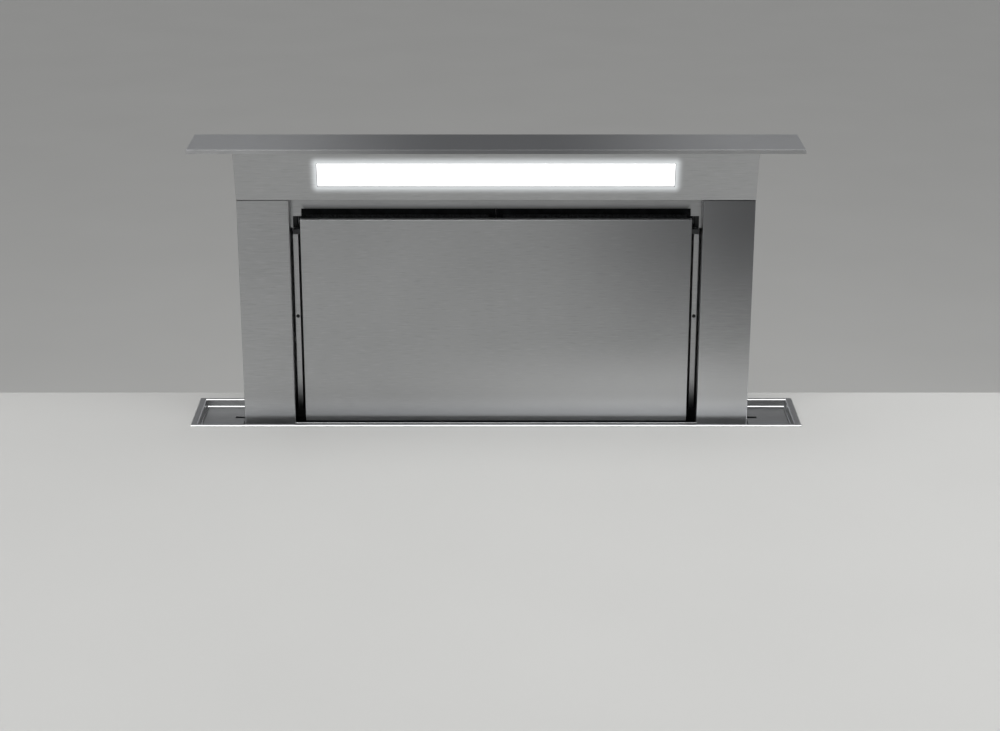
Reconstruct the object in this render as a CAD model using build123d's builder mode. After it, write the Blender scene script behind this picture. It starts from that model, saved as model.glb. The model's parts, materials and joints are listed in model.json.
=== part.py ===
from build123d import *

import os
from math import atan2, cos, degrees, pi, radians, sin, sqrt, tan

# A downdraft vent that rises out of a worktop, shown raised. Millimetres.
# +X is the user's right, +Y points away from the user and +Z is up. The origin is
# the centre of the worktop cut-out, on the worktop's top surface.

os.makedirs("parts", exist_ok=True)

# ------------------------------------------------------------------ driving sizes
# Worktop frame and the two shallow trays beside the column
frame_length = 880.0
frame_depth = 115.0
rim_side = 10.0  # the rim's width at its two ends
rim_front = 7.0  # the rim's width along its front and its back
rim_sheet = 1.5
gasket_thickness = 0.5
gasket_inset = 1.0
frame_sheet = 1.2
recess_depth = 8.0  # from the worktop down to the ledge
ledge_width = 2.4
tray_depth = 12.0  # from the worktop down to the trays
tray_sheet = 1.5
tray_flange = 8.0
tray_gap = 3.0  # beside the column
notch_length = 15.0
notch_width = 8.0
notch_y = 13.0

# Casing under the worktop
casing_sheet = 1.2
casing_height = 745.0
casing_flange = 15.0

# Column
column_end_gap = 75.0  # from the frame's end to the column's side
column_setback = 30.0  # from the frame's front inner edge to the column's face
column_depth = 62.5
column_tail = 160.0  # what the raised column leaves below the worktop
column_sheet = 1.2
pillar_width = 73.4
bend_radius = 1.5

# Lid
lid_end_gap = 1.5
lid_front_gap = 3.5
lid_sheet = 1.5
lid_edge = 6.0

# Leaning header and its lamp
header_height = 78.0
header_lean = 22.5
header_seam = 1.0  # the shadow gap under the header's face
lamp_inset = 116.0  # from the column's side to the lamp's end
lamp_height = 36.0
lamp_margin = 23.5  # up the slope, from the header's lower edge to the lamp
lamp_gap = 0.3
diffuser_lip = 6.0
diffuser_thickness = 2.5
lamp_tray_depth = 20.0
lamp_tray_sheet = 1.0
led_board_width = 20.0
led_board_thickness = 1.6
led_count = 8
led_size = 3.5
led_height = 1.0

# Inner frame behind the panel
fascia_setback = 22.5  # from the column's face to the inner frame's face
sill_level = 8.0  # below the worktop
shelf_height = 13.0  # from the sill to the filters' shelf
slot_height = 12.0
slot_overlap = 1.0  # below the panel's top
slot_inset = 0.6  # from the panel's side to the slot's end
fascia_margin = 17.5  # the plate that shows between the slot and the header
side_strip = 7.5  # the strip that shows beside the panel
side_slit = 2.6
catch_relief = 17.0
catch_height = 7.0
catch_length = 15.0
catch_inset = 1.0  # from the slit beside the pillar

# Front panel, which tilts on two pins near its lower edge
panel_side_gap = 15.0
panel_lower_edge = 5.5  # below the worktop
panel_height = 302.5
panel_setback = 2.5
panel_return = 10.0
panel_sheet = 1.2
hinge_inset = 36.6  # from the panel's side to a hinge's middle
hinge_pin_radius = 2.0
hinge_axis_depth = 5.5  # behind the panel's face
hinge_axis_level = 1.0
hinge_lug_width = 8.0
hinge_lug_radius = 4.0
hinge_lug_gap = 2.5
hinge_ear = 2.0
hinge_base = 1.2
hinge_notch = 20.0
running_gap = 0.05
side_clearance = 0.3

# Grease filters
filter_thickness = 12.0
filter_rim = 9.0
filter_recess = 1.5
filter_gap = 1.0
filter_overlap = 8.0  # above the panel
filter_seat = 12.0  # from the inner frame's face to the filter's face
filter_lip = 8.0
grip_width = 70.0
grip_height = 24.0
grip_bar = 4.0
grip_sheet = 1.5

# Lift: two fixed racks, a cross shaft with two pinions, and its gearmotor
gear_module = 3.0
pinion_teeth = 18
pressure_angle = 20.0
flank_facets = 3
backlash = 0.3
rack_back = 6.0
rack_width = 12.0
rack_inset = 28.8  # from the casing's side to the rack
rack_spare = 25.0  # rack beyond the pinion's centre at each end of its travel
pinion_width = 14.0
shaft_overrun = 1.0
shaft_radius = 5.0
shaft_flat = 1.0
shaft_level = 95.0  # below the worktop, with the column raised
press_gap = 0.02
shaft_hole = 14.0  # the square hole that it passes through in sheets
bearing_size = 24.0
bearing_width = 6.0
gearbox_width = 46.0
gearbox_radius = 22.0
gearbox_chamfer = 5.0
motor_radius = 16.0
motor_length = 80.0
motor_offset = 14.0
motor_cap_radius = 7.0
motor_cap_height = 4.0

# Guide rails, carriages and shoes
rail_front_offset = 37.3  # from the casing's front to the rail's middle
rail_base = 3.0
rail_base_width = 30.0
rail_web = 4.0
rail_reach = 8.0
rail_head = 4.0
rail_head_width = 14.0
rail_top_gap = 6.5
shoe_gap = 0.3
shoe_wall = 4.0
shoe_width = 26.0
shoe_height = 22.0
shoe_back_gap = 1.0  # from the shoes to the rails' bases
arm_inset = 2.0
carriage_plate = 3.0
carriage_margin = 2.0
carriage_top = 28.0  # below the worktop
upper_shoe_level = 42.0
lower_shoe_level = 145.0
beam_flange = 12.0
beam_sheet = 2.0
stop_height = 14.0
stop_size = 20.0
switch_length = 28.0
switch_width = 12.0
switch_thickness = 6.0
switch_lever_width = 4.0
switch_lever_rise = 2.0
switch_lever_inset = 4.0
switch_gap = 2.0  # beside the pinion
switch_level = 60.0  # below the worktop
switch_drop = 80.0  # what the lower switch adds to the travel

# Blower on the casing's front
blower_length = 330.0
blower_height = 300.0
blower_depth = 165.0
blower_sheet = 1.0
blower_base = 5.0  # above the casing's floor
blower_lip = 6.0
inlet_radius = 86.0
impeller_radius = 100.0
blade_root_radius = 84.0
blade_count = 24
blade_sweep = 9.0
blade_fold = 0.3  # the share of the sweep that a blade makes up to its fold
blade_thickness = 1.3
impeller_gap = 3.0
impeller_plate = 1.5
impeller_hub_radius = 16.0
impeller_hub_length = 22.0
fan_shaft_radius = 4.0
fan_motor_radius = 50.0
fan_motor_length = 50.0
fan_motor_gap = 8.0  # behind the impeller
bracket_sheet = 2.0
bracket_corner = 8.0
bracket_reach = 80.0
standoff_width = 9.0
standoff_length = 14.0
scroll_start = 106.0
scroll_base_gap = 7.0  # from the box's base to the scroll
scroll_first_angle = -20.0
scroll_last_angle = 270.0
scroll_steps = 16
scroll_sheet = 1.0
cover_margin = 30.0
cover_field = 3.0

# Outlet collar with its two non-return flaps
duct_radius = 74.5
duct_length = 75.0
duct_sheet = 1.0
duct_above_base = 75.5
duct_flange_gap = 1.0  # between the collar's flange and the cover's lip
flap_pin_radius = 2.0
pin_end_gap = 0.1
flap_offset = 7.0  # from the collar's flange to the flap pin
flap_thickness = 1.0
flap_rim_gap = 2.0
knuckle_radius = 4.0
knuckle_clearance = 0.6
knuckle_gap = 1.0  # from the duct's middle to each knuckle
knuckle_end = 55.0
stop_reach = 4.0
stop_width = 16.0

# Control box and its cable gland
control_length = 170.0
control_height = 120.0
control_depth = 38.0
control_wall = 2.0
control_inset = 30.0  # from the casing's left end
control_top = 210.0  # below the worktop
control_cover_sheet = 2.0
control_lip = 3.0
gland_from_end = 40.0
gland_bore_radius = 4.0
gland_entry = 12.0  # the square hole behind the gland
gland_hex = 11.0
gland_hex_height = 6.0
gland_nut = 9.0
gland_nut_height = 16.0

# Worktop clamps and floor brackets
clamp_inset = 100.0  # from the casing's end to a clamp's middle
clamp_width = 30.0
clamp_sheet = 2.0
clamp_top = 25.0
clamp_level = 80.0
clamp_reach = 30.0
clamp_slot = 6.4
clamp_slot_start = 14.0  # from the casing to the screw slot's closed end
floor_drop = 45.0
floor_bracket_width = 70.0
floor_bracket_sheet = 2.0
floor_bracket_height = 110.0
floor_leg = 52.0
floor_slot_width = 6.0
floor_slot_length = 20.0
floor_slot_pitch = 40.0

# ------------------------------------------------------------------ worked-out sizes
rim_top = gasket_thickness + rim_sheet
opening_length = frame_length - 2 * rim_side
opening_depth = frame_depth - 2 * rim_front
wall_length = opening_length + 2 * frame_sheet
wall_depth = opening_depth + 2 * frame_sheet
tray_length = opening_length - 2 * ledge_width
tray_width = opening_depth - 2 * ledge_width
step_length = tray_length + 2 * frame_sheet
step_depth = tray_width + 2 * frame_sheet
ledge_bottom = -recess_depth - frame_sheet
tray_top = -tray_depth
tray_bottom = tray_top - tray_sheet

casing_x = step_length / 2  # the casing's inner faces
casing_y = step_depth / 2
casing_outer_x = casing_x + casing_sheet
casing_outer_y = casing_y + casing_sheet
casing_bottom = -casing_height

column_width = frame_length - 2 * column_end_gap
column_x = column_width / 2
column_front = -opening_depth / 2 + column_setback
column_back = column_front + column_depth
column_bottom = -column_tail
pillar_x = column_x - pillar_width  # the pillars' inner faces

panel_bottom = -panel_lower_edge
panel_top = panel_bottom + panel_height
slot_bottom = panel_top - slot_overlap
header_bottom = slot_bottom + slot_height + fascia_margin
lid_under = header_bottom + header_height
lid_top = lid_under + lid_sheet
column_rise = lid_top - rim_top
lid_length = opening_length - 2 * lid_end_gap
lid_depth = opening_depth - 2 * lid_front_gap

header_top_y = column_front - header_lean
lamp_length = column_width - 2 * lamp_inset
lean = atan2(header_lean, header_height)

fascia_y = column_front + fascia_setback
fascia_back = fascia_y + column_sheet
sill_top = -sill_level

panel_x = pillar_x - panel_side_gap
panel_front = column_front + panel_setback
panel_back = panel_front + panel_return
slot_x = panel_x - slot_inset
hinge_x = panel_x - hinge_inset
hinge_y = panel_front + hinge_axis_depth
hinge_z = hinge_axis_level
strip_x = panel_x + panel_side_gap - side_slit - side_strip  # the inner edge of a side strip
slit_x = strip_x + side_strip
catch_x = slit_x - catch_inset

filter_front = fascia_y + filter_seat
filter_back = filter_front + filter_thickness
shelf_top = sill_top + shelf_height
filter_bottom = shelf_top + side_clearance
filter_top = panel_top + filter_overlap
filter_x = strip_x - filter_gap

pitch_radius = gear_module * pinion_teeth / 2
tip_radius = pitch_radius + gear_module
root_radius = pitch_radius - 1.25 * gear_module
base_radius = pitch_radius * cos(radians(pressure_angle))
tooth_pitch = pi * gear_module
rack_root_y = casing_y - rack_back
pitch_y = rack_root_y - 1.25 * gear_module
shaft_y = pitch_y - pitch_radius
shaft_z = -shaft_level
rack_x = casing_x - rack_inset - rack_width  # the rack's face nearer the column
pinion_x = rack_x - (pinion_width - rack_width) / 2
shaft_end = pinion_x + pinion_width + shaft_overrun

rail_y = -casing_y + rail_front_offset
rail_base_x = casing_x - rail_base
rail_head_x = rail_base_x - rail_reach - rail_head
shoe_x = rail_head_x - shoe_gap - shoe_wall
carriage_bottom = column_bottom + carriage_margin
stop_top = -lower_shoe_level - shoe_height / 2 - column_rise - shoe_gap

blower_back = -casing_outer_y
blower_front = blower_back - blower_depth
blower_bottom = casing_bottom + blower_base
blower_top = blower_bottom + blower_height
blower_x = blower_length / 2
fan_z = blower_bottom + blower_height / 2
scroll_end = blower_height / 2 - scroll_base_gap
inlet_face = blower_back - blower_sheet
motor_back = blower_front + standoff_length + bracket_sheet
motor_front = motor_back + fan_motor_length
impeller_back = motor_front + fan_motor_gap
impeller_front = inlet_face - impeller_gap
blade_width = impeller_front - impeller_back - 2 * impeller_plate

duct_x = blower_x
duct_y = (blower_back + blower_front) / 2
duct_z = blower_bottom + duct_above_base
duct_bore = duct_radius - duct_sheet
duct_flange = blower_depth - 2 * (blower_lip + duct_flange_gap)
flap_x = duct_x + blower_sheet + flap_offset
flap_radius = duct_bore - flap_rim_gap

control_left = -casing_outer_x + control_inset
control_end = control_left + control_length
control_back = -casing_outer_y
control_front = control_back - control_depth
floor_z = casing_bottom - floor_drop


# ------------------------------------------------------------------ helpers
def level(z):
    """A horizontal sketch plane, extruding upwards."""
    return Plane.XY.offset(z)


def facing_front(y):
    """An upright sketch plane of X and Z, extruding towards the user."""
    return Plane.XZ.offset(-y)


def facing_side(x):
    """An upright sketch plane of Y and Z, extruding to the right."""
    return Plane.YZ.offset(x)


def fan_plane(y):
    """An upright plane of X and Z centred on the fan's axis."""
    return Plane(origin=(0, y, fan_z), x_dir=(1, 0, 0), z_dir=(0, -1, 0))


def duct_plane(x):
    """An upright plane of Y and Z centred on the outlet duct."""
    return Plane(origin=(x, duct_y, duct_z), x_dir=(0, 1, 0), z_dir=(1, 0, 0))


def shaft_plane(x):
    """An upright plane of Y and Z centred on the lift's cross shaft."""
    return Plane(origin=(x, shaft_y, shaft_z), x_dir=(0, 1, 0), z_dir=(1, 0, 0))


def header_plane(depth):
    """A plane on the header's leaning face, or this deep behind it; Y runs up the slope."""
    face = Plane(
        origin=(0, column_front, header_bottom),
        x_dir=(1, 0, 0),
        z_dir=(0, -cos(lean), -sin(lean)),
    )
    return face.offset(-depth)


def patch(x_low, x_high, y_low, y_high, mode=Mode.ADD):
    """A rectangle between two corners of the open sketch."""
    with Locations(((x_low + x_high) / 2, (y_low + y_high) / 2)):
        Rectangle(x_high - x_low, y_high - y_low, mode=mode)


def save(piece, name):
    """Labels a finished piece and writes it."""
    piece.part.label = name
    export_step(piece.part, f"parts/{name}.step")


def save_pair(piece, name):
    """Writes a right-hand piece and its mirror image on the left."""
    save(piece, f"{name}_right")
    with BuildPart() as opposite:
        mirror(piece.part, about=Plane.YZ)
    save(opposite, f"{name}_left")


# ------------------------------------------------------------------ worktop frame
with BuildPart() as worktop_frame:
    with BuildSketch(level(gasket_thickness)):
        Rectangle(frame_length, frame_depth)
        Rectangle(opening_length, opening_depth, mode=Mode.SUBTRACT)
    extrude(amount=rim_sheet)
    with BuildSketch(level(gasket_thickness)):
        Rectangle(wall_length, wall_depth)
        Rectangle(opening_length, opening_depth, mode=Mode.SUBTRACT)
    extrude(amount=ledge_bottom - gasket_thickness)
    with BuildSketch(level(ledge_bottom)):
        Rectangle(wall_length, wall_depth)
        Rectangle(tray_length, tray_width, mode=Mode.SUBTRACT)
    extrude(amount=frame_sheet)
    with BuildSketch(level(ledge_bottom)):
        Rectangle(step_length, step_depth)
        Rectangle(tray_length, tray_width, mode=Mode.SUBTRACT)
    extrude(amount=tray_bottom - ledge_bottom)
save(worktop_frame, "worktop_frame")

# Soft tape that seals the rim on the worktop
with BuildPart() as rim_gasket:
    with BuildSketch(level(0)):
        Rectangle(frame_length - 2 * gasket_inset, frame_depth - 2 * gasket_inset)
        Rectangle(wall_length, wall_depth, mode=Mode.SUBTRACT)
    extrude(amount=gasket_thickness)
save(rim_gasket, "rim_gasket")

# The tray's notch stays open down through its flange
tray_inner_x = column_x + tray_gap
with BuildPart() as tray:
    with BuildSketch(level(tray_bottom)):
        patch(tray_inner_x, tray_length / 2, -tray_width / 2, tray_width / 2)
        patch(
            tray_inner_x,
            tray_inner_x + notch_length,
            notch_y - notch_width / 2,
            notch_y + notch_width / 2,
            mode=Mode.SUBTRACT,
        )
    extrude(amount=tray_sheet)
    with BuildSketch(level(tray_bottom)):
        patch(tray_inner_x, tray_inner_x + tray_sheet, -tray_width / 2, tray_width / 2)
        patch(
            tray_inner_x,
            tray_inner_x + tray_sheet,
            notch_y - notch_width / 2,
            notch_y + notch_width / 2,
            mode=Mode.SUBTRACT,
        )
    extrude(amount=-tray_flange)
save_pair(tray, "tray")

# ------------------------------------------------------------------ casing
with BuildPart() as casing_back:
    with BuildSketch(facing_front(casing_outer_y)):
        patch(-casing_outer_x, casing_outer_x, casing_bottom, ledge_bottom)
    extrude(amount=casing_sheet)
save(casing_back, "casing_back")

with BuildPart() as casing_front:
    with BuildSketch(facing_front(-casing_y)):
        patch(-casing_outer_x, casing_outer_x, casing_bottom, ledge_bottom)
        with Locations((0, fan_z)):
            Circle(inlet_radius, mode=Mode.SUBTRACT)
    extrude(amount=casing_sheet)
save(casing_front, "casing_front")

with BuildPart() as casing_side:
    with BuildSketch(level(casing_bottom)):
        patch(casing_x, casing_outer_x, -casing_y, casing_y)
    extrude(amount=ledge_bottom - casing_bottom)
    with BuildSketch(level(casing_bottom)):
        for edge in (-casing_y, casing_y - casing_sheet):
            patch(casing_outer_x - casing_flange, casing_outer_x, edge, edge + casing_sheet)
    extrude(amount=tray_bottom - casing_bottom)
save_pair(casing_side, "casing_side")

with BuildPart() as casing_floor:
    floor_x = casing_x - casing_flange
    with BuildSketch(level(casing_bottom)):
        patch(-floor_x, floor_x, -casing_y, casing_y)
    extrude(amount=casing_sheet)
    for side in (-1, 1):
        edge = side * (casing_y - casing_sheet / 2)
        with BuildSketch(level(casing_bottom)):
            patch(-floor_x, floor_x, edge - casing_sheet / 2, edge + casing_sheet / 2)
        extrude(amount=casing_flange)
save(casing_floor, "casing_floor")

# ------------------------------------------------------------------ lift, fixed side
# An extruded T rail runs down each side of the casing
with BuildPart() as guide_rail:
    with BuildSketch(level(stop_top)):
        patch(rail_base_x, casing_x, rail_y - rail_base_width / 2, rail_y + rail_base_width / 2)
        patch(rail_head_x, rail_base_x, rail_y - rail_web / 2, rail_y + rail_web / 2)
        patch(
            rail_head_x,
            rail_head_x + rail_head,
            rail_y - rail_head_width / 2,
            rail_y + rail_head_width / 2,
        )
    extrude(amount=tray_bottom - rail_top_gap - stop_top)
save_pair(guide_rail, "guide_rail")

# The rack's straight flanks match the pinion's involute ones. A gap between two teeth
# lies level with the cross shaft while the column is raised.
rack_top = shaft_z + rack_spare
rack_bottom = shaft_z - column_rise - rack_spare
flank = tan(radians(pressure_angle))
rack_tooth_root = tooth_pitch / 2 - backlash + 2 * 1.25 * gear_module * flank
teeth_above = int(rack_spare / tooth_pitch)
teeth_below = int((column_rise + rack_spare) / tooth_pitch)
rack_levels = [shaft_z + (teeth_above - k - 0.5) * tooth_pitch for k in range(teeth_above + teeth_below)]

with BuildPart() as rack:
    with BuildSketch(facing_side(rack_x)):
        patch(rack_root_y, casing_y, rack_bottom, rack_top)
        with Locations([(rack_root_y, z) for z in rack_levels]):
            Trapezoid(
                rack_tooth_root,
                2.25 * gear_module,
                90 - pressure_angle,
                rotation=90,
                align=(Align.CENTER, Align.MIN),
            )
    extrude(amount=rack_width)
save_pair(rack, "rack")

# Rubber blocks under the rails carry the lowered column
with BuildPart() as end_stops:
    for side in (-1, 1):
        with BuildSketch(level(stop_top)):
            middle = side * (casing_x - stop_size / 2)
            with Locations((middle, rail_y)):
                Rectangle(stop_size, stop_size)
        extrude(amount=-stop_height, taper=4)
save(end_stops, "end_stops")

# Two microswitches on the casing's back end the travel, each with a sprung lever
switch_right = pinion_x - switch_gap
switch_face = casing_y - switch_thickness
lowest_switch = -switch_level - column_rise - switch_drop
with BuildPart() as limit_switches:
    for top in (-switch_level, lowest_switch):
        with BuildSketch(facing_front(casing_y)):
            patch(switch_right - switch_width, switch_right, top - switch_length, top)
        extrude(amount=switch_thickness)
        with BuildSketch(facing_side(switch_right - switch_width / 2)):
            with BuildLine():
                Polyline(
                    (switch_face, top - switch_length + switch_lever_inset),
                    (switch_face - switch_lever_rise, top - switch_lever_inset),
                    (switch_face, top - switch_lever_inset),
                    close=True,
                )
            make_face()
        extrude(amount=switch_lever_width / 2, both=True)
save(limit_switches, "limit_switches")

# ------------------------------------------------------------------ lift, moving side
# The pinion's flanks follow involutes of the base circle, then run straight in
half_tooth = pi / (2 * pinion_teeth) + flank - radians(pressure_angle)


def flank_point(radius, side):
    """A point on one flank of the tooth that points along the sketch's X axis."""
    roll = sqrt(max((radius / base_radius) ** 2 - 1, 0))
    angle = side * (half_tooth - (roll - atan2(roll, 1)))
    return radius * cos(angle), radius * sin(angle)


flank_radii = [base_radius + (tip_radius - base_radius) * k / flank_facets for k in range(flank_facets + 1)]
tooth_foot = root_radius - gear_module / 2
with BuildPart() as pinion:
    with BuildSketch(shaft_plane(pinion_x)):
        RegularPolygon(root_radius, pinion_teeth)
        with BuildSketch(mode=Mode.PRIVATE) as tooth:
            with BuildLine():
                lower = [flank_point(radius, -1) for radius in flank_radii]
                upper = [flank_point(radius, 1) for radius in reversed(flank_radii)]
                Polyline((tooth_foot, lower[0][1]), *lower, *upper, (tooth_foot, upper[-1][1]), close=True)
            make_face()
        with PolarLocations(0, pinion_teeth):
            add(tooth.sketch)
        Circle(shaft_radius + press_gap, mode=Mode.SUBTRACT)
        patch(
            -shaft_radius,
            shaft_radius,
            shaft_radius - shaft_flat + press_gap,
            shaft_radius + gear_module / 2,
        )
    extrude(amount=pinion_width)
save_pair(pinion, "pinion")

# The cross shaft has a flat at each end for its pinion
with BuildPart() as cross_shaft:
    with BuildSketch(shaft_plane(-shaft_end)):
        Circle(shaft_radius)
    extrude(amount=2 * shaft_end)
    for start in (-shaft_end, pinion_x):
        with BuildSketch(shaft_plane(start)):
            patch(-shaft_radius, shaft_radius, shaft_radius - shaft_flat, shaft_radius)
        extrude(amount=shaft_end - pinion_x, mode=Mode.SUBTRACT)
save(cross_shaft, "cross_shaft")

# The shaft runs in a bearing block on each carriage plate
with BuildPart() as bearing_blocks:
    for side in (-1, 1):
        with BuildSketch(shaft_plane(side * (column_x + carriage_plate))):
            Rectangle(bearing_size, bearing_size)
            Circle(shaft_radius + running_gap, mode=Mode.SUBTRACT)
        extrude(amount=side * bearing_width)
save(bearing_blocks, "bearing_blocks")

# A carriage plate lies on each pillar's outer wall and reaches out to its two shoes
with BuildPart() as carriage:
    with BuildSketch(facing_side(column_x)):
        patch(
            column_front + carriage_margin,
            column_back - carriage_margin,
            carriage_bottom,
            -carriage_top,
        )
        with Locations((shaft_y, shaft_z)):
            Rectangle(shaft_hole, shaft_hole, mode=Mode.SUBTRACT)
    extrude(amount=carriage_plate)
    for arm_level in (-upper_shoe_level, -lower_shoe_level):
        arm_front = rail_y - shoe_width / 2 + arm_inset
        arm_back = rail_y + shoe_width / 2 - arm_inset
        with BuildSketch(level(arm_level - carriage_plate / 2)):
            patch(column_x, shoe_x, arm_front, arm_back)
        extrude(amount=carriage_plate)
        with BuildSketch(facing_side(shoe_x - carriage_plate)):
            patch(arm_front, arm_back, arm_level - shoe_height / 2, arm_level + shoe_height / 2)
        extrude(amount=carriage_plate)
save_pair(carriage, "carriage")

# Four slider shoes wrap round the rails' heads
with BuildPart() as guide_shoes:
    for arm_level in (-upper_shoe_level, -lower_shoe_level):
        with BuildSketch(level(arm_level - shoe_height / 2)):
            patch(shoe_x, rail_base_x - shoe_back_gap, rail_y - shoe_width / 2, rail_y + shoe_width / 2)
            patch(
                rail_head_x - shoe_gap,
                rail_head_x + rail_head + shoe_gap,
                rail_y - rail_head_width / 2 - shoe_gap,
                rail_y + rail_head_width / 2 + shoe_gap,
                mode=Mode.SUBTRACT,
            )
            patch(
                rail_head_x,
                rail_base_x,
                rail_y - rail_web / 2 - shoe_gap,
                rail_y + rail_web / 2 + shoe_gap,
                mode=Mode.SUBTRACT,
            )
        extrude(amount=shoe_height)
    mirror(guide_shoes.part, about=Plane.YZ)
save(guide_shoes, "guide_shoes")

# The worm gearbox sits on the left pillar's inner wall, with its motor upright on top
gearbox_x = -pillar_x - column_sheet
motor_x = gearbox_x - gearbox_width / 2
motor_y = shaft_y - motor_offset
gearbox_top = shaft_z + gearbox_radius
with BuildPart() as lift_gearbox:
    with BuildSketch(facing_side(gearbox_x - gearbox_width)):
        patch(motor_y - motor_radius, shaft_y + gearbox_radius, shaft_z - gearbox_radius, gearbox_top)
    extrude(amount=gearbox_width)
    chamfer(lift_gearbox.edges().filter_by(Axis.X), length=gearbox_chamfer)
    with BuildSketch(shaft_plane(gearbox_x)):
        Circle(shaft_radius + running_gap)
    extrude(amount=-gearbox_width, mode=Mode.SUBTRACT)
save(lift_gearbox, "lift_gearbox")

with BuildPart() as lift_motor:
    with BuildSketch(level(gearbox_top)):
        with Locations((motor_x, motor_y)):
            Circle(motor_radius)
    extrude(amount=motor_length)
    with BuildSketch(level(gearbox_top + motor_length)):
        with Locations((motor_x, motor_y)):
            RegularPolygon(motor_cap_radius, 6)
    extrude(amount=motor_cap_height)
save(lift_motor, "lift_motor")

# ------------------------------------------------------------------ column
# Folded box pillars carry everything above the worktop
with BuildPart() as pillar:
    with BuildSketch(level(column_bottom)):
        with Locations(((pillar_x + column_x) / 2, (column_front + column_back) / 2)):
            RectangleRounded(pillar_width, column_depth, bend_radius)
            Rectangle(pillar_width - 2 * column_sheet, column_depth - 2 * column_sheet, mode=Mode.SUBTRACT)
    extrude(amount=header_bottom - column_bottom)
    with BuildSketch(shaft_plane(pillar_x)):
        Rectangle(shaft_hole, shaft_hole)
    extrude(amount=pillar_width, mode=Mode.SUBTRACT)
save_pair(pillar, "pillar")

with BuildPart() as column_back_sheet:
    with BuildSketch(facing_front(column_back)):
        patch(-pillar_x, pillar_x, column_bottom, header_bottom)
    extrude(amount=column_sheet)
save(column_back_sheet, "column_back_sheet")

# A cross beam ties the pillars at the column's open lower end
with BuildPart() as tie_beam:
    beam_y = column_back - column_sheet
    with BuildSketch(facing_side(-pillar_x)):
        patch(beam_y - beam_flange, beam_y, column_bottom, column_bottom + beam_sheet)
        patch(beam_y - beam_sheet, beam_y, column_bottom, column_bottom + beam_flange)
    extrude(amount=2 * pillar_x)
save(tie_beam, "tie_beam")

# Below the panel a sheet closes the column; its top edge folds back as the sill
with BuildPart() as lower_front:
    with BuildSketch(facing_side(-pillar_x)):
        patch(column_front, column_front + column_sheet, column_bottom, sill_top)
        patch(column_front, fascia_back, sill_top - column_sheet, sill_top)
    extrude(amount=2 * pillar_x)
save(lower_front, "lower_front")

# The inner frame holds the filters. It shows as a plate under the header, with the
# suction slot below it, and as a strip in the gap on each side of the panel.
strip_top = panel_top - catch_relief
with BuildPart() as inner_frame:
    with BuildSketch(facing_front(fascia_back)):
        patch(-pillar_x, pillar_x, sill_top, header_bottom)
        patch(-strip_x, strip_x, shelf_top, panel_top, mode=Mode.SUBTRACT)
        patch(-slot_x, slot_x, slot_bottom, slot_bottom + slot_height, mode=Mode.SUBTRACT)
        for side in (-1, 1):
            inner, outer = sorted((side * strip_x, side * catch_x))
            patch(inner, outer, strip_top, panel_top, mode=Mode.SUBTRACT)
            inner, outer = sorted((side * slit_x, side * pillar_x))
            patch(inner, outer, shelf_top, strip_top, mode=Mode.SUBTRACT)
    extrude(amount=column_sheet)
    # Webs run back beside the filters and turn in behind them as a seat
    seat_back = filter_back + side_clearance
    with BuildSketch(level(shelf_top)):
        for side in (-1, 1):
            inner, outer = sorted((side * strip_x, side * (strip_x + column_sheet)))
            patch(inner, outer, fascia_back, seat_back + column_sheet)
            inner, outer = sorted((side * (strip_x - filter_lip), side * (strip_x + column_sheet)))
            patch(inner, outer, seat_back, seat_back + column_sheet)
    extrude(amount=strip_top - shelf_top)
    with BuildSketch(facing_side(-strip_x - column_sheet)):
        patch(fascia_y, seat_back + column_sheet, shelf_top - column_sheet, shelf_top)
        patch(seat_back, seat_back + column_sheet, shelf_top - column_sheet, shelf_top + filter_lip)
    extrude(amount=2 * (strip_x + column_sheet))
save(inner_frame, "inner_frame")

# Magnet blocks at the panel's upper corners hold it shut
with BuildPart() as panel_catches:
    for side in (-1, 1):
        inner, outer = sorted((side * (catch_x - catch_length), side * catch_x))
        with BuildSketch(facing_front(fascia_y)):
            patch(inner, outer, strip_top - catch_height, strip_top)
        extrude(amount=fascia_y - panel_back - side_clearance)
save(panel_catches, "panel_catches")

# ------------------------------------------------------------------ lid and header
with BuildPart() as lid:
    with BuildSketch(level(lid_top)):
        Rectangle(lid_length, lid_depth)
    extrude(amount=-lid_edge)
    chamfer(lid.edges().group_by(Axis.Z)[-1], length=lid_sheet / 3)
    with BuildSketch(level(lid_under)):
        Rectangle(lid_length - 2 * lid_sheet, lid_depth - 2 * lid_sheet)
    extrude(amount=lid_sheet - lid_edge, mode=Mode.SUBTRACT)
save(lid, "lid")

# The header is a folded box whose face leans out to the lid's front edge
with BuildPart() as header:
    slope = column_sheet / cos(lean)
    face_y = column_front - header_seam * tan(lean)
    with BuildSketch(facing_side(-column_x)):
        with BuildLine():
            Polyline(
                (face_y, header_bottom + header_seam),
                (header_top_y, lid_under),
                (column_back, lid_under),
                (column_back, header_bottom),
                (column_back - column_sheet, header_bottom),
                (column_back - column_sheet, lid_under - column_sheet),
                (header_top_y + slope + column_sheet * tan(lean), lid_under - column_sheet),
                (face_y + slope - column_sheet * tan(lean), header_bottom + header_seam + column_sheet),
                (fascia_y, header_bottom + header_seam + column_sheet),
                (fascia_y, header_bottom + header_seam),
                close=True,
            )
        make_face()
    extrude(amount=2 * column_x)
    for start in (-column_x, column_x - column_sheet):
        with BuildSketch(facing_side(start)):
            with BuildLine():
                Polyline(
                    (face_y, header_bottom + header_seam),
                    (header_top_y, lid_under),
                    (column_back, lid_under),
                    (column_back, header_bottom),
                    (column_front + bend_radius, header_bottom),
                    close=True,
                )
            make_face()
        extrude(amount=column_sheet)
    with BuildSketch(header_plane(0)):
        with Locations((0, lamp_margin + lamp_height / 2)):
            Rectangle(lamp_length, lamp_height)
    extrude(amount=-column_sheet * 2, mode=Mode.SUBTRACT)
save(header, "header")

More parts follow.
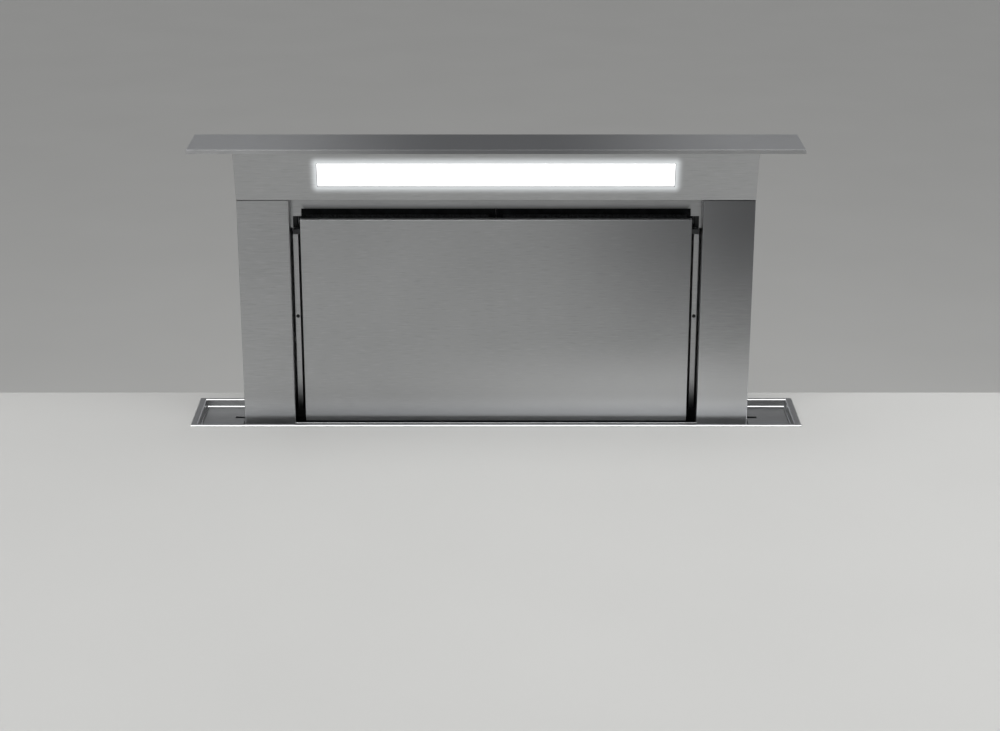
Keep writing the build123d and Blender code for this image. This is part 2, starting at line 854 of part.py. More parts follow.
lamp_middle = lamp_margin + lamp_height / 2
lip_length = lamp_length + 2 * diffuser_lip
lip_height = lamp_height + 2 * diffuser_lip
with BuildPart() as lamp_diffuser:
    with BuildSketch(header_plane(column_sheet)):
        with Locations((0, lamp_middle)):
            Rectangle(lamp_length - 2 * lamp_gap, lamp_height - 2 * lamp_gap)
    extrude(amount=column_sheet - lamp_gap)
    with BuildSketch(header_plane(column_sheet)):
        with Locations((0, lamp_middle)):
            Rectangle(lip_length, lip_height)
    extrude(amount=-diffuser_thickness)
save(lamp_diffuser, "lamp_diffuser")

tray_face = column_sheet + diffuser_thickness
with BuildPart() as lamp_tray:
    with BuildSketch(header_plane(tray_face)):
        with Locations((0, lamp_middle)):
            Rectangle(lip_length, lip_height)
    extrude(amount=-lamp_tray_depth)
    with BuildSketch(header_plane(tray_face)):
        with Locations((0, lamp_middle)):
            Rectangle(lip_length - 2 * lamp_tray_sheet, lip_height - 2 * lamp_tray_sheet)
    extrude(amount=lamp_tray_sheet - lamp_tray_depth, mode=Mode.SUBTRACT)
save(lamp_tray, "lamp_tray")

board_depth = tray_face + lamp_tray_depth - lamp_tray_sheet
with BuildPart() as led_board:
    with BuildSketch(header_plane(board_depth)):
        with Locations((0, lamp_middle)):
            Rectangle(lamp_length, led_board_width)
    extrude(amount=led_board_thickness)
    with BuildSketch(header_plane(board_depth - led_board_thickness)):
        with Locations((0, lamp_middle)):
            with GridLocations(lamp_length / led_count, 0, led_count, 1):
                Rectangle(led_size, led_size)
    extrude(amount=led_height)
save(led_board, "led_board")

# ------------------------------------------------------------------ front panel
with BuildPart() as front_panel:
    with BuildSketch(facing_front(panel_back)):
        patch(-panel_x, panel_x, panel_bottom, panel_top)
    extrude(amount=panel_return)
    chamfer(front_panel.edges().group_by(Axis.Y)[0], length=panel_sheet / 3)
    with BuildSketch(facing_front(panel_back)):
        patch(
            panel_sheet - panel_x,
            panel_x - panel_sheet,
            panel_bottom + panel_sheet,
            panel_top - panel_sheet,
        )
    extrude(amount=panel_return - panel_sheet, mode=Mode.SUBTRACT)
    # The lower return is cut away at the hinges
    with BuildSketch(facing_front(panel_back)):
        for side in (-1, 1):
            with Locations((side * hinge_x, panel_bottom)):
                Rectangle(hinge_notch, 4 * panel_sheet)
    extrude(amount=panel_return - panel_sheet, mode=Mode.SUBTRACT)
    for side in (-1, 1):
        with BuildSketch(facing_side(side * hinge_x - hinge_lug_width / 2)):
            with Locations((hinge_y, hinge_z)):
                Circle(hinge_lug_radius)
            patch(panel_front + panel_sheet, hinge_y, hinge_z - hinge_lug_radius, hinge_z + hinge_lug_radius)
            with Locations((hinge_y, hinge_z)):
                Circle(hinge_pin_radius + running_gap, mode=Mode.SUBTRACT)
        extrude(amount=hinge_lug_width)
save(front_panel, "front_panel")

# Each hinge bracket stands on the sill, with its pin riveted between two ears
ear_inner = hinge_lug_width / 2 + side_clearance
ear_outer = ear_inner + hinge_ear
ear_y = hinge_y + hinge_lug_radius + hinge_lug_gap
nose_long = hinge_lug_radius * cos(pi / 8)
nose_short = hinge_lug_radius * sin(pi / 8)
with BuildPart() as hinge_brackets:
    for side in (-1, 1):
        for start in (-ear_outer, ear_inner):
            with BuildSketch(facing_side(side * hinge_x + start)):
                with BuildLine():
                    Polyline(
                        (ear_y, sill_top),
                        (fascia_y, sill_top),
                        (hinge_y + nose_long, hinge_z + nose_long),
                        (hinge_y - nose_short, hinge_z + nose_long),
                        (hinge_y - nose_long, hinge_z + nose_short),
                        (hinge_y - nose_long, hinge_z - nose_short),
                        close=True,
                    )
                make_face()
            extrude(amount=hinge_ear)
        with BuildSketch(level(sill_top)):
            patch(side * hinge_x - ear_outer, side * hinge_x + ear_outer, ear_y, fascia_y)
        extrude(amount=hinge_base)
        with BuildSketch(facing_side(side * hinge_x - ear_inner)):
            with Locations((hinge_y, hinge_z)):
                Circle(hinge_pin_radius)
        extrude(amount=2 * ear_inner)
save(hinge_brackets, "hinge_brackets")

# ------------------------------------------------------------------ grease filters
grip_x = filter_x / 2 + filter_gap / 2
with BuildPart() as grease_filter:
    with BuildSketch(facing_front(filter_back)):
        patch(filter_gap, filter_x, filter_bottom, filter_top)
    extrude(amount=filter_thickness)
    for face, direction in ((filter_front, -1), (filter_back, 1)):
        with BuildSketch(facing_front(face)):
            patch(
                filter_gap + filter_rim,
                filter_x - filter_rim,
                filter_bottom + filter_rim,
                filter_top - filter_rim,
            )
        extrude(amount=direction * filter_recess, mode=Mode.SUBTRACT)
save_pair(grease_filter, "grease_filter")

# A flat bow for a finger lies on each filter's lower part
with BuildPart() as filter_grips:
    for side in (-1, 1):
        with BuildSketch(facing_front(filter_front)):
            with Locations((side * grip_x, filter_bottom + filter_rim / 2 + grip_height / 2)):
                Rectangle(grip_width, grip_height)
            with Locations((side * grip_x, filter_bottom + filter_rim / 2 + (grip_height - grip_bar) / 2)):
                Rectangle(grip_width - 2 * grip_bar, grip_height - grip_bar, mode=Mode.SUBTRACT)
        extrude(amount=grip_sheet)
save(filter_grips, "filter_grips")

# ------------------------------------------------------------------ blower
with BuildPart() as blower_box:
    with BuildSketch(facing_front(blower_back)):
        patch(-blower_x, blower_x, blower_bottom, blower_top)
    extrude(amount=blower_depth)
    with BuildSketch(facing_front(inlet_face)):
        patch(
            blower_sheet - blower_x,
            blower_x - blower_sheet,
            blower_bottom + blower_sheet,
            blower_top - blower_sheet,
        )
    extrude(amount=blower_depth, mode=Mode.SUBTRACT)
    with BuildSketch(fan_plane(blower_back)):
        Circle(inlet_radius)
    extrude(amount=blower_sheet, mode=Mode.SUBTRACT)
    with BuildSketch(duct_plane(blower_x - blower_sheet)):
        Circle(duct_bore)
    extrude(amount=blower_sheet, mode=Mode.SUBTRACT)
save(blower_box, "blower_box")

# The cover's edges fold back over the box, and its pressed field stands proud
with BuildPart() as blower_cover:
    with BuildSketch(facing_front(blower_front)):
        patch(-blower_x, blower_x, blower_bottom, blower_top)
    extrude(amount=blower_sheet)
    with BuildSketch(fan_plane(blower_front)):
        Rectangle(2 * blower_x + 2 * blower_sheet, blower_height + 2 * blower_sheet)
        Rectangle(2 * blower_x, blower_height, mode=Mode.SUBTRACT)
    extrude(amount=blower_sheet)
    with BuildSketch(fan_plane(blower_front)):
        Rectangle(2 * blower_x + 2 * blower_sheet, blower_height + 2 * blower_sheet)
        Rectangle(2 * blower_x, blower_height, mode=Mode.SUBTRACT)
    extrude(amount=-blower_lip)
    with BuildSketch(fan_plane(blower_front - blower_sheet)):
        Rectangle(2 * blower_x - 2 * cover_margin, blower_height - 2 * cover_margin)
    extrude(amount=cover_field, taper=45)
save(blower_cover, "blower_cover")

# Blades folded forwards stand between the impeller's back plate and its front ring,
# which both have one flat for each blade
blade_pitch = 360 / blade_count
blade_tip = impeller_radius * cos(radians(blade_pitch / 2)) - impeller_plate
blade_middle = (blade_root_radius + blade_tip) / 2
blade_turn = degrees(blade_thickness / blade_middle)
blade_line = (
    (blade_root_radius, 0),
    (blade_middle, blade_sweep * blade_fold),
    (blade_tip, blade_sweep),
)


def blade_point(radius, turn):
    """A point of a blade's section, from its radius and its angle about the axis."""
    return radius * cos(radians(turn)), radius * sin(radians(turn))


with BuildPart() as impeller:
    with BuildSketch(fan_plane(impeller_front)):
        RegularPolygon(impeller_radius, blade_count)
        RegularPolygon(blade_root_radius, blade_count, mode=Mode.SUBTRACT)
    extrude(amount=impeller_plate)
    with BuildSketch(fan_plane(impeller_front - impeller_plate)):
        with BuildSketch(mode=Mode.PRIVATE) as blade:
            with BuildLine():
                trailing = [blade_point(radius, turn) for radius, turn in blade_line]
                leading = [blade_point(radius, turn + blade_turn) for radius, turn in reversed(blade_line)]
                Polyline(*trailing, *leading, close=True)
            make_face()
        with PolarLocations(0, blade_count):
            add(blade.sketch)
    extrude(amount=blade_width)
    with BuildSketch(fan_plane(impeller_back + impeller_plate)):
        RegularPolygon(impeller_radius, blade_count)
    extrude(amount=impeller_plate)
    with BuildSketch(fan_plane(impeller_back + impeller_plate)):
        Circle(impeller_hub_radius)
    extrude(amount=-impeller_hub_length)
    with BuildSketch(fan_plane(impeller_back)):
        Circle(fan_shaft_radius + press_gap)
    extrude(amount=-impeller_hub_length - impeller_plate, mode=Mode.SUBTRACT)
save(impeller, "impeller")

shaft_front = impeller_back + impeller_plate + impeller_hub_length
shaft_tail = motor_front - fan_motor_length / 2
with BuildPart() as fan_shaft:
    with BuildSketch(fan_plane(shaft_front)):
        Circle(fan_shaft_radius)
    extrude(amount=shaft_front - shaft_tail)
save(fan_shaft, "fan_shaft")

with BuildPart() as fan_motor:
    with BuildSketch(fan_plane(motor_front)):
        Circle(fan_motor_radius)
    extrude(amount=fan_motor_length)
    with BuildSketch(fan_plane(motor_front)):
        Circle(fan_shaft_radius + running_gap)
    extrude(amount=motor_front - shaft_tail + side_clearance, mode=Mode.SUBTRACT)
save(fan_motor, "fan_motor")

# A three-cornered bracket carries the motor off the cover
with BuildPart() as motor_bracket:
    with BuildSketch(fan_plane(motor_back)):
        with PolarLocations(bracket_reach, 3, start_angle=90):
            Circle(bracket_corner)
        make_hull()
    extrude(amount=bracket_sheet)
    with BuildSketch(fan_plane(motor_back - bracket_sheet)):
        with PolarLocations(bracket_reach, 3, start_angle=90):
            Rectangle(standoff_width, standoff_width)
    extrude(amount=standoff_length)
save(motor_bracket, "motor_bracket")

# The scroll, folded in many flats, widens round the impeller and opens at the outlet
def scroll_point(step, extra):
    """A point on the spiral, seen from the front about the fan's axis."""
    share = step / scroll_steps
    radius = scroll_start + (scroll_end - scroll_start) * share + extra
    angle = radians(scroll_first_angle + (scroll_last_angle - scroll_first_angle) * share)
    return radius * cos(angle), radius * sin(angle)


outlet_x = blower_x - blower_sheet
outlet_roof = duct_z + duct_bore - fan_z
tongue_x, tongue_y = scroll_point(0, 0)
with BuildPart() as scroll_wall:
    with BuildSketch(fan_plane(inlet_face)):
        for extra, mode in ((scroll_sheet, Mode.ADD), (0, Mode.SUBTRACT)):
            with BuildLine():
                Polyline(*[scroll_point(k, extra) for k in range(scroll_steps + 1)], (0, 0), close=True)
            make_face(mode=mode)
            with BuildLine():
                Polyline(
                    (0, 0),
                    (0, -scroll_end - extra),
                    (outlet_x, -scroll_end - extra),
                    (outlet_x, outlet_roof + extra),
                    (tongue_x, tongue_y + extra),
                    close=True,
                )
            make_face(mode=mode)
    extrude(amount=blower_depth - blower_sheet)
save(scroll_wall, "scroll_wall")

# ------------------------------------------------------------------ outlet
with BuildPart() as outlet_collar:
    with BuildSketch(duct_plane(duct_x)):
        Rectangle(duct_flange, duct_flange)
        Circle(duct_bore, mode=Mode.SUBTRACT)
    extrude(amount=duct_sheet)
    with BuildSketch(duct_plane(duct_x)):
        Circle(duct_radius)
        Circle(duct_bore, mode=Mode.SUBTRACT)
    extrude(amount=duct_sheet + duct_length)
    # A tab inside stops each closed flap
    with BuildSketch(duct_plane(flap_x - flap_thickness / 2 - side_clearance)):
        Circle(duct_radius)
        Circle(duct_bore - stop_reach, mode=Mode.SUBTRACT)
        Rectangle(2 * duct_radius, stop_width, mode=Mode.INTERSECT)
    extrude(amount=-2 * flap_thickness)
save(outlet_collar, "outlet_collar")

with BuildPart() as flap_pin:
    with BuildSketch(level(duct_z)):
        with Locations((flap_x, duct_y)):
            Circle(flap_pin_radius)
    extrude(amount=duct_bore - pin_end_gap, both=True)
save(flap_pin, "flap_pin")

# Two half-round flaps share the pin, the front one's knuckle above the rear one's
for name, direction in (("front", -1), ("rear", 1)):
    edge = direction * (knuckle_radius + knuckle_clearance)
    knuckle_start = duct_z - direction * knuckle_gap
    with BuildPart() as flap:
        with BuildSketch(duct_plane(flap_x - flap_thickness / 2)):
            Circle(flap_radius)
            patch(*sorted((edge, -direction * flap_radius)), -flap_radius, flap_radius, mode=Mode.SUBTRACT)
            patch(*sorted((0, edge)), *sorted((-direction * knuckle_gap, -direction * knuckle_end)))
        extrude(amount=flap_thickness)
        with BuildSketch(level(knuckle_start)):
            with Locations((flap_x, duct_y)):
                Circle(knuckle_radius)
        extrude(amount=-direction * (knuckle_end - knuckle_gap))
        with BuildSketch(level(knuckle_start)):
            with Locations((flap_x, duct_y)):
                Circle(flap_pin_radius + running_gap)
        extrude(amount=-direction * (knuckle_end - knuckle_gap), mode=Mode.SUBTRACT)
    save(flap, f"flap_{name}")

# ------------------------------------------------------------------ control box
control_base = -control_top - control_height
gland_x = control_left + gland_from_end
gland_y = (control_back + control_front) / 2
with BuildPart() as control_box:
    with BuildSketch(facing_front(control_back)):
        patch(control_left, control_end, control_base, -control_top)
    extrude(amount=control_depth)
    with BuildSketch(facing_front(control_back - control_wall)):
        patch(
            control_left + control_wall,
            control_end - control_wall,
            control_base + control_wall,
            -control_top - control_wall,
        )
    extrude(amount=control_depth, mode=Mode.SUBTRACT)
    with BuildSketch(level(control_base)):
        with Locations((gland_x, gland_y)):
            Rectangle(gland_entry, gland_entry)
    extrude(amount=control_wall, mode=Mode.SUBTRACT)
save(control_box, "control_box")

with BuildPart() as control_cover:
    with BuildSketch(facing_front(control_front)):
        patch(control_left, control_end, control_base, -control_top)
    extrude(amount=control_cover_sheet)
    chamfer(control_cover.edges().filter_by(Axis.Y), length=control_lip)
    with BuildSketch(facing_front(control_front)):
        inset = control_wall + side_clearance
        patch(control_left + inset, control_end - inset, control_base + inset, -control_top - inset)
        deeper = inset + control_wall
        patch(
            control_left + deeper,
            control_end - deeper,
            control_base + deeper,
            -control_top - deeper,
            mode=Mode.SUBTRACT,
        )
    extrude(amount=-control_lip)
save(control_cover, "control_cover")

with BuildPart() as cable_gland:
    with BuildSketch(level(control_base)):
        with Locations((gland_x, gland_y)):
            RegularPolygon(gland_hex, 6)
    extrude(amount=-gland_hex_height)
    with BuildSketch(level(control_base - gland_hex_height)):
        with Locations((gland_x, gland_y)):
            RegularPolygon(gland_nut, 6)
    extrude(amount=-gland_nut_height)
    with BuildSketch(level(control_base)):
        with Locations((gland_x, gland_y)):
            Circle(gland_bore_radius)
    extrude(amount=-gland_hex_height - gland_nut_height, mode=Mode.SUBTRACT)
save(cable_gland, "cable_gland")

# ------------------------------------------------------------------ clamps and brackets
# Four angle brackets with open slots take the screws that clamp the frame down
clamp_x = casing_outer_x - clamp_inset
clamp_spots = [(sx * clamp_x, sy) for sx in (-1, 1) for sy in (-1, 1)]
with BuildPart() as worktop_clamps:
    for x, side in clamp_spots:
        with BuildSketch(facing_side(x - clamp_width / 2)):
            near, far = sorted((side * casing_outer_y, side * (casing_outer_y + clamp_sheet)))
            patch(near, far, -clamp_level, -clamp_top)
            near, far = sorted((side * casing_outer_y, side * (casing_outer_y + clamp_reach)))
            patch(near, far, -clamp_level, clamp_sheet - clamp_level)
        extrude(amount=clamp_width)
        with BuildSketch(level(-clamp_level)):
            near = side * (casing_outer_y + clamp_slot_start)
            far = side * (casing_outer_y + clamp_reach)
            patch(x - clamp_slot / 2, x + clamp_slot / 2, *sorted((near, far)))
        extrude(amount=clamp_sheet, mode=Mode.SUBTRACT)
save(worktop_clamps, "worktop_clamps")

# Slotted angles on the casing's sides stand on the cabinet floor
with BuildPart() as floor_brackets:
    leg_x = casing_outer_x + floor_bracket_sheet - floor_leg
    half_width = floor_bracket_width / 2
    with BuildSketch(level(floor_z)):
        patch(leg_x, casing_outer_x + floor_bracket_sheet, -half_width, half_width)
        with Locations((leg_x + floor_leg / 2, 0)):
            with GridLocations(0, floor_slot_pitch, 1, 2):
                SlotOverall(floor_slot_length, floor_slot_width, mode=Mode.SUBTRACT)
    extrude(amount=floor_bracket_sheet)
    with BuildSketch(facing_side(casing_outer_x)):
        patch(-half_width, half_width, floor_z, floor_z + floor_bracket_height)
    extrude(amount=floor_bracket_sheet)
    mirror(floor_brackets.part, about=Plane.YZ)
save(floor_brackets, "floor_brackets")
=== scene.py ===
"""Looks of the downdraft vent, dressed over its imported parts.

Lengths are metres, +X right, +Y back, +Z up.
"""
import json
import math

import bmesh
import bpy
from mathutils import Matrix, Vector

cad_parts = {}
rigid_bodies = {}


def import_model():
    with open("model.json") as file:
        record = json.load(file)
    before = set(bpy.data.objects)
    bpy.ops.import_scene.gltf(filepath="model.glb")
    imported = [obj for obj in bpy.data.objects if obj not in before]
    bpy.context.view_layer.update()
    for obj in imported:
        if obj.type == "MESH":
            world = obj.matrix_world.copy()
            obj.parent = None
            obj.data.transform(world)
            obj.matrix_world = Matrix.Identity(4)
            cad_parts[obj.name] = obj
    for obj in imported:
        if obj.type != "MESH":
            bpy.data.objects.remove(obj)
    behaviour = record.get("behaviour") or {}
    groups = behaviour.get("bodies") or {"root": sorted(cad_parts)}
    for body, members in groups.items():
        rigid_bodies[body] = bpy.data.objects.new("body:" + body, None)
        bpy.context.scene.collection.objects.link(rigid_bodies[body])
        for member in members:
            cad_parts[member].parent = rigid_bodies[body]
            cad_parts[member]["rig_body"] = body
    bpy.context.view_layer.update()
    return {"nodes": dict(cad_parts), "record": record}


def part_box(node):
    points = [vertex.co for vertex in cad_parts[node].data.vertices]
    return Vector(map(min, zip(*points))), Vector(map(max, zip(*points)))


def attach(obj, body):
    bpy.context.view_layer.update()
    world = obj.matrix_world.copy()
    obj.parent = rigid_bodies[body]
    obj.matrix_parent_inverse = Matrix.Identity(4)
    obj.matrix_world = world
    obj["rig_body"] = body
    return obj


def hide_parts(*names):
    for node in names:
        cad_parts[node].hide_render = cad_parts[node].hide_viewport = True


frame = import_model()
scene = bpy.context.scene
mm = 0.001

# ------------------------------------------------------------------ camera
camera_place = (0, -2.9075, 1.097)
camera_pitch = math.radians(19.4)
camera_lens = 76.4
camera_shift_x = 0.004  # the photograph shows the vent four pixels left of its middle

camera_data = bpy.data.cameras.new("camera")
camera = bpy.data.objects.new("camera", camera_data)
scene.collection.objects.link(camera)
scene.camera = camera
camera_data.lens = camera_lens
camera_data.shift_x = camera_shift_x
camera.location = camera_place
camera.rotation_euler = (math.radians(90) - camera_pitch, 0, 0)


# ------------------------------------------------------------------ colours and nodes
def shade(code):
    """The linear colour of an sRGB hex value."""
    parts = [int(code[i : i + 2], 16) / 255 for i in (1, 3, 5)]
    return (*[p / 12.92 if p <= 0.04045 else ((p + 0.055) / 1.055) ** 2.4 for p in parts], 1)


def add(tree, kind, inputs, output=0, **settings):
    """Adds a shader node with its settings and gives one output.

    An input is a value, or a socket to link.
    """
    node = tree.nodes.new("ShaderNode" + kind)
    for name, value in settings.items():
        setattr(node, name, value)
    for name, value in inputs.items():
        if isinstance(value, bpy.types.NodeSocket):
            tree.links.new(value, node.inputs[name])
        else:
            node.inputs[name].default_value = value
    return node.outputs[output] if len(node.outputs) else node


FACTOR, LESS, MORE, MIXED = 0, 6, 7, 2  # the sockets of a Mix node that mixes colours


def finish_of(name):
    """An empty material, its node tree and a point in metres on the piece."""
    material = bpy.data.materials.new(name)
    material.use_nodes = True
    tree = material.node_tree
    tree.nodes.clear()
    return material, tree, add(tree, "TexCoord", {}, "Object")


# ------------------------------------------------------------------ brushed sheet
sheet_dark, sheet_light = "#a6a7a8", "#b3b4b5"
streak_length = 20 * mm
streak_width = 1.5 * mm  # real scratches are 0.1 mm wide, drawn wide enough to show
streak_depth = 0.006 * mm
cloud_size = 160 * mm  # slow changes of tone along a large sheet
# the strength of the painted glow on a sheet
painted_glow_strength = 0.55


def brushed_steel(surface, dark=sheet_dark, light=sheet_light, painted_glow=None, painted_tone=None):
    """Stainless sheet brushed level: faint short streaks, a sheen drawn out up and down.

    Painted shade, light and reflection can change its tone by place, and a painted glow can stand
    for light that falls on it.
    """
    material, tree, place = finish_of("stainless_steel_brushed_" + surface)
    across = (1 / streak_length, 1 / streak_width, 1 / streak_width)
    lines = add(tree, "Mapping", {"Vector": place, "Scale": across})
    streaks = {"Vector": lines, "Scale": 1, "Detail": 1, "Roughness": 0.5}
    streaks = add(tree, "TexNoise", streaks)
    clouds = add(tree, "TexNoise", {"Vector": place, "Scale": 1 / cloud_size, "Detail": 2})
    # single streaks stand out a little, pale or dark, from a cloudy ground
    pale = add(tree, "MapRange", {"Value": streaks, "From Min": 0.58, "From Max": 0.7})
    dull = add(tree, "MapRange", {"Value": streaks, "From Min": 0.42, "From Max": 0.3})
    stray = add(tree, "Math", {0: pale, 1: dull}, operation="SUBTRACT")
    tone = add(tree, "Math", {0: stray, 1: 0.5, 2: clouds}, operation="MULTIPLY_ADD")
    sheen = {FACTOR: tone, LESS: shade(dark), MORE: shade(light)}
    sheen = add(tree, "Mix", sheen, MIXED, data_type="RGBA")
    # painted shade, light and reflection, by place on the piece
    if painted_tone:
        sheen = painted_tone(tree, place, sheen)
    rough = {"Value": streaks, "From Min": 0.3, "From Max": 0.7, "To Min": 0.28, "To Max": 0.3}
    coat = {
        "Base Color": sheen,
        "Metallic": 1,
        "Roughness": add(tree, "MapRange", rough),
        "Anisotropic": 0.8,
        "Anisotropic Rotation": 0.25,
        # the brushing runs level round every sheet, so along Y where a sheet faces sideways
        "Tangent": add(tree, "CombineXYZ", {"X": 1, "Y": 0.02}),
        "Normal": add(tree, "Bump", {"Height": streaks, "Distance": streak_depth, "Strength": 1}),
    }
    # an emission painted on, standing for light that falls on the sheet
    if painted_glow:
        coat["Emission Color"] = painted_glow(tree, place)
        coat["Emission Strength"] = painted_glow_strength
    add(tree, "OutputMaterial", {"Surface": add(tree, "BsdfPrincipled", coat)})
    return material


def painted_shade_by_sill_and_slot(tree, place, sheen):
    """Paints shade on the inner frame at the sill and above its slot, where little light gets in.
    """
    point = add(tree, "SeparateXYZ", {"Vector": place}).node.outputs
    aside = add(tree, "Math", {0: point["X"]}, operation="ABSOLUTE")
    reaches = []
    # dark and light ends in mm and the least light of the painted shade: up from the sill, up from
    # the slot, and out past the slot's ends
    for value, start, end, least in (
        (point["Z"], 6, 60, 0.03),
        (point["Z"], 304, 317, 0.1),
        (aside, 266, 277, 0),
    ):
        reach = {"Value": value, "From Min": start * mm, "From Max": end * mm, "To Min": least}
        reaches.append(add(tree, "MapRange", reach, interpolation_type="SMOOTHSTEP"))
    by_sill, above_slot, past_slot = reaches
    lit = add(tree, "Math", {0: above_slot, 1: past_slot}, operation="MAXIMUM")
    lit = add(tree, "Math", {0: lit, 1: by_sill}, operation="MULTIPLY")
    tones = {FACTOR: lit, LESS: shade("#141414"), MORE: sheen}
    return add(tree, "Mix", tones, MIXED, data_type="RGBA")


def painted_shade_behind_the_fold(tree, place, sheen):
    """Paints shade on the top of the sheet under the panel, from 2 mm behind its fold."""
    depth = add(tree, "SeparateXYZ", {"Vector": place}, "Y")
    shaded = {"Value": depth, "From Min": -18.6 * mm, "From Max": -17.2 * mm}
    tones = {FACTOR: add(tree, "MapRange", shaded), LESS: sheen, MORE: shade("#101010")}
    return add(tree, "Mix", tones, MIXED, data_type="RGBA")


def painted_reflection_and_light_on_column(tree, place, sheen):
    """Painted reflection darkens the column's sheets to the upper right; painted light pales their
    foot.
    """
    point = add(tree, "SeparateXYZ", {"Vector": place}).node.outputs
    # whole on the front, and gone towards the back
    facing = {"Value": point["Y"], "From Min": -18 * mm, "From Max": 30 * mm}
    facing = add(tree, "MapRange", {**facing, "To Min": 1, "To Max": 0})
    # each painted tone grows along two axes: from and to in mm, and its least share; a darker
    # painted reflection, then painted light at the foot
    for tone, growth in (
        ("#77787a", (("X", 0, 360, 0), ("Z", 40, 310, 0))),
        ("#d4d5d6", (("X", -200, 250, 0.2), ("Z", 130, 10, 0))),
    ):
        share = facing
        for axis, start, end, least in growth:
            reach = {"Value": point[axis], "From Min": start * mm, "From Max": end * mm}
            reach["To Min"] = least
            reach = add(tree, "MapRange", reach, interpolation_type="SMOOTHSTEP")
            share = add(tree, "Math", {0: share, 1: reach}, operation="MULTIPLY")
        tones = {FACTOR: share, LESS: sheen, MORE: shade(tone)}
        sheen = add(tree, "Mix", tones, MIXED, data_type="RGBA")
    return sheen


def painted_reflection_along_the_lid(tree, place, sheen):
    """A painted reflection, darker in the middle of the lid's length."""
    aside = add(tree, "SeparateXYZ", {"Vector": place}, "X")
    aside = add(tree, "Math", {0: aside}, operation="ABSOLUTE")
    ends = {"Value": aside, "From Min": 60 * mm, "From Max": 360 * mm}
    ends = add(tree, "MapRange", ends, interpolation_type="SMOOTHSTEP")
    tones = {FACTOR: ends, LESS: shade("#858688"), MORE: sheen}
    return add(tree, "Mix", tones, MIXED, data_type="RGBA")


def painted_light_off_the_rim(tree, place):
    """Painted light: a glow on the foot of the column's front, for what the bright rim throws
    there.
    """
    point = add(tree, "SeparateXYZ", {"Vector": place}).node.outputs
    aside = {"Value": point["X"], "From Min": -250 * mm, "From Max": 250 * mm, "To Min": 0.65}
    glow = add(tree, "MapRange", aside)
    # it grows down to the rim, and ends below it
    for start, end in ((38 * mm, 4 * mm), (-1 * mm, 5 * mm)):
        low = {"Value": point["Z"], "From Min": start, "From Max": end}
        low = add(tree, "MapRange", low, interpolation_type="SMOOTHSTEP")
        glow = add(tree, "Math", {0: glow, 1: low}, operation="MULTIPLY")
    facing = add(tree, "Math", {0: point["Y"], 1: -17.5 * mm}, operation="LESS_THAN")
    glow = add(tree, "Math", {0: glow, 1: facing}, operation="MULTIPLY")
    tones = {FACTOR: glow, LESS: shade("#000000"), MORE: shade("#989a9c")}
    return add(tree, "Mix", tones, MIXED, data_type="RGBA")


lamp_half = (249 * mm, 17.3 * mm)  # half the lamp's window, seen from the front
lamp_level = 365.4 * mm
painted_glow_reach = 15 * mm
painted_glow_falloff = 1.6


def painted_lamp_glow(tree, place):
    """A painted glow of the lamp's light on the sheet round its window, fading outwards past a thin
    dark edge.
    """
    point = add(tree, "SeparateXYZ", {"Vector": place}).node.outputs
    raised = add(tree, "Math", {0: point["Z"], 1: lamp_level}, operation="SUBTRACT")
    gaps = []
    for way, half in zip((point["X"], raised), lamp_half):
        reach = add(tree, "Math", {0: way}, operation="ABSOLUTE")
        reach = add(tree, "Math", {0: reach, 1: half}, operation="SUBTRACT")
        gaps.append(add(tree, "Math", {0: reach, 1: 0.0}, operation="MAXIMUM"))
    away = add(tree, "CombineXYZ", {"X": gaps[0], "Y": gaps[1]})
    away = add(tree, "VectorMath", {0: away}, "Value", operation="LENGTH")
    fade = {"Value": away, "From Max": painted_glow_reach, "To Min": 1, "To Max": 0}
    fade = add(tree, "MapRange", fade, interpolation_type="SMOOTHSTEP")
    fade = add(tree, "Math", {0: fade, 1: painted_glow_falloff}, operation="POWER")
    edge = {"Value": away, "From Min": 0.6 * mm, "From Max": 1.4 * mm}
    glow = add(tree, "Math", {0: fade, 1: add(tree, "MapRange", edge)}, operation="MULTIPLY")
    facing = add(tree, "Math", {0: point["Y"], 1: -10 * mm}, operation="LESS_THAN")
    glow = add(tree, "Math", {0: glow, 1: facing}, operation="MULTIPLY")
    tones = {FACTOR: glow, LESS: shade("#000000"), MORE: shade("#eef3f6")}
    return add(tree, "Mix", tones, MIXED, data_type="RGBA")


# ------------------------------------------------------------------ other materials
spangle_size = 7 * mm
spangle_wander = 3 * mm  # how far the crystals' edges stray
spangle_relief = 0.15 * mm
metal_relief = 0.02 * mm
grit_relief = 0.05 * mm
smoother, rougher = 0.06, 0.08  # how far the roughness strays either way


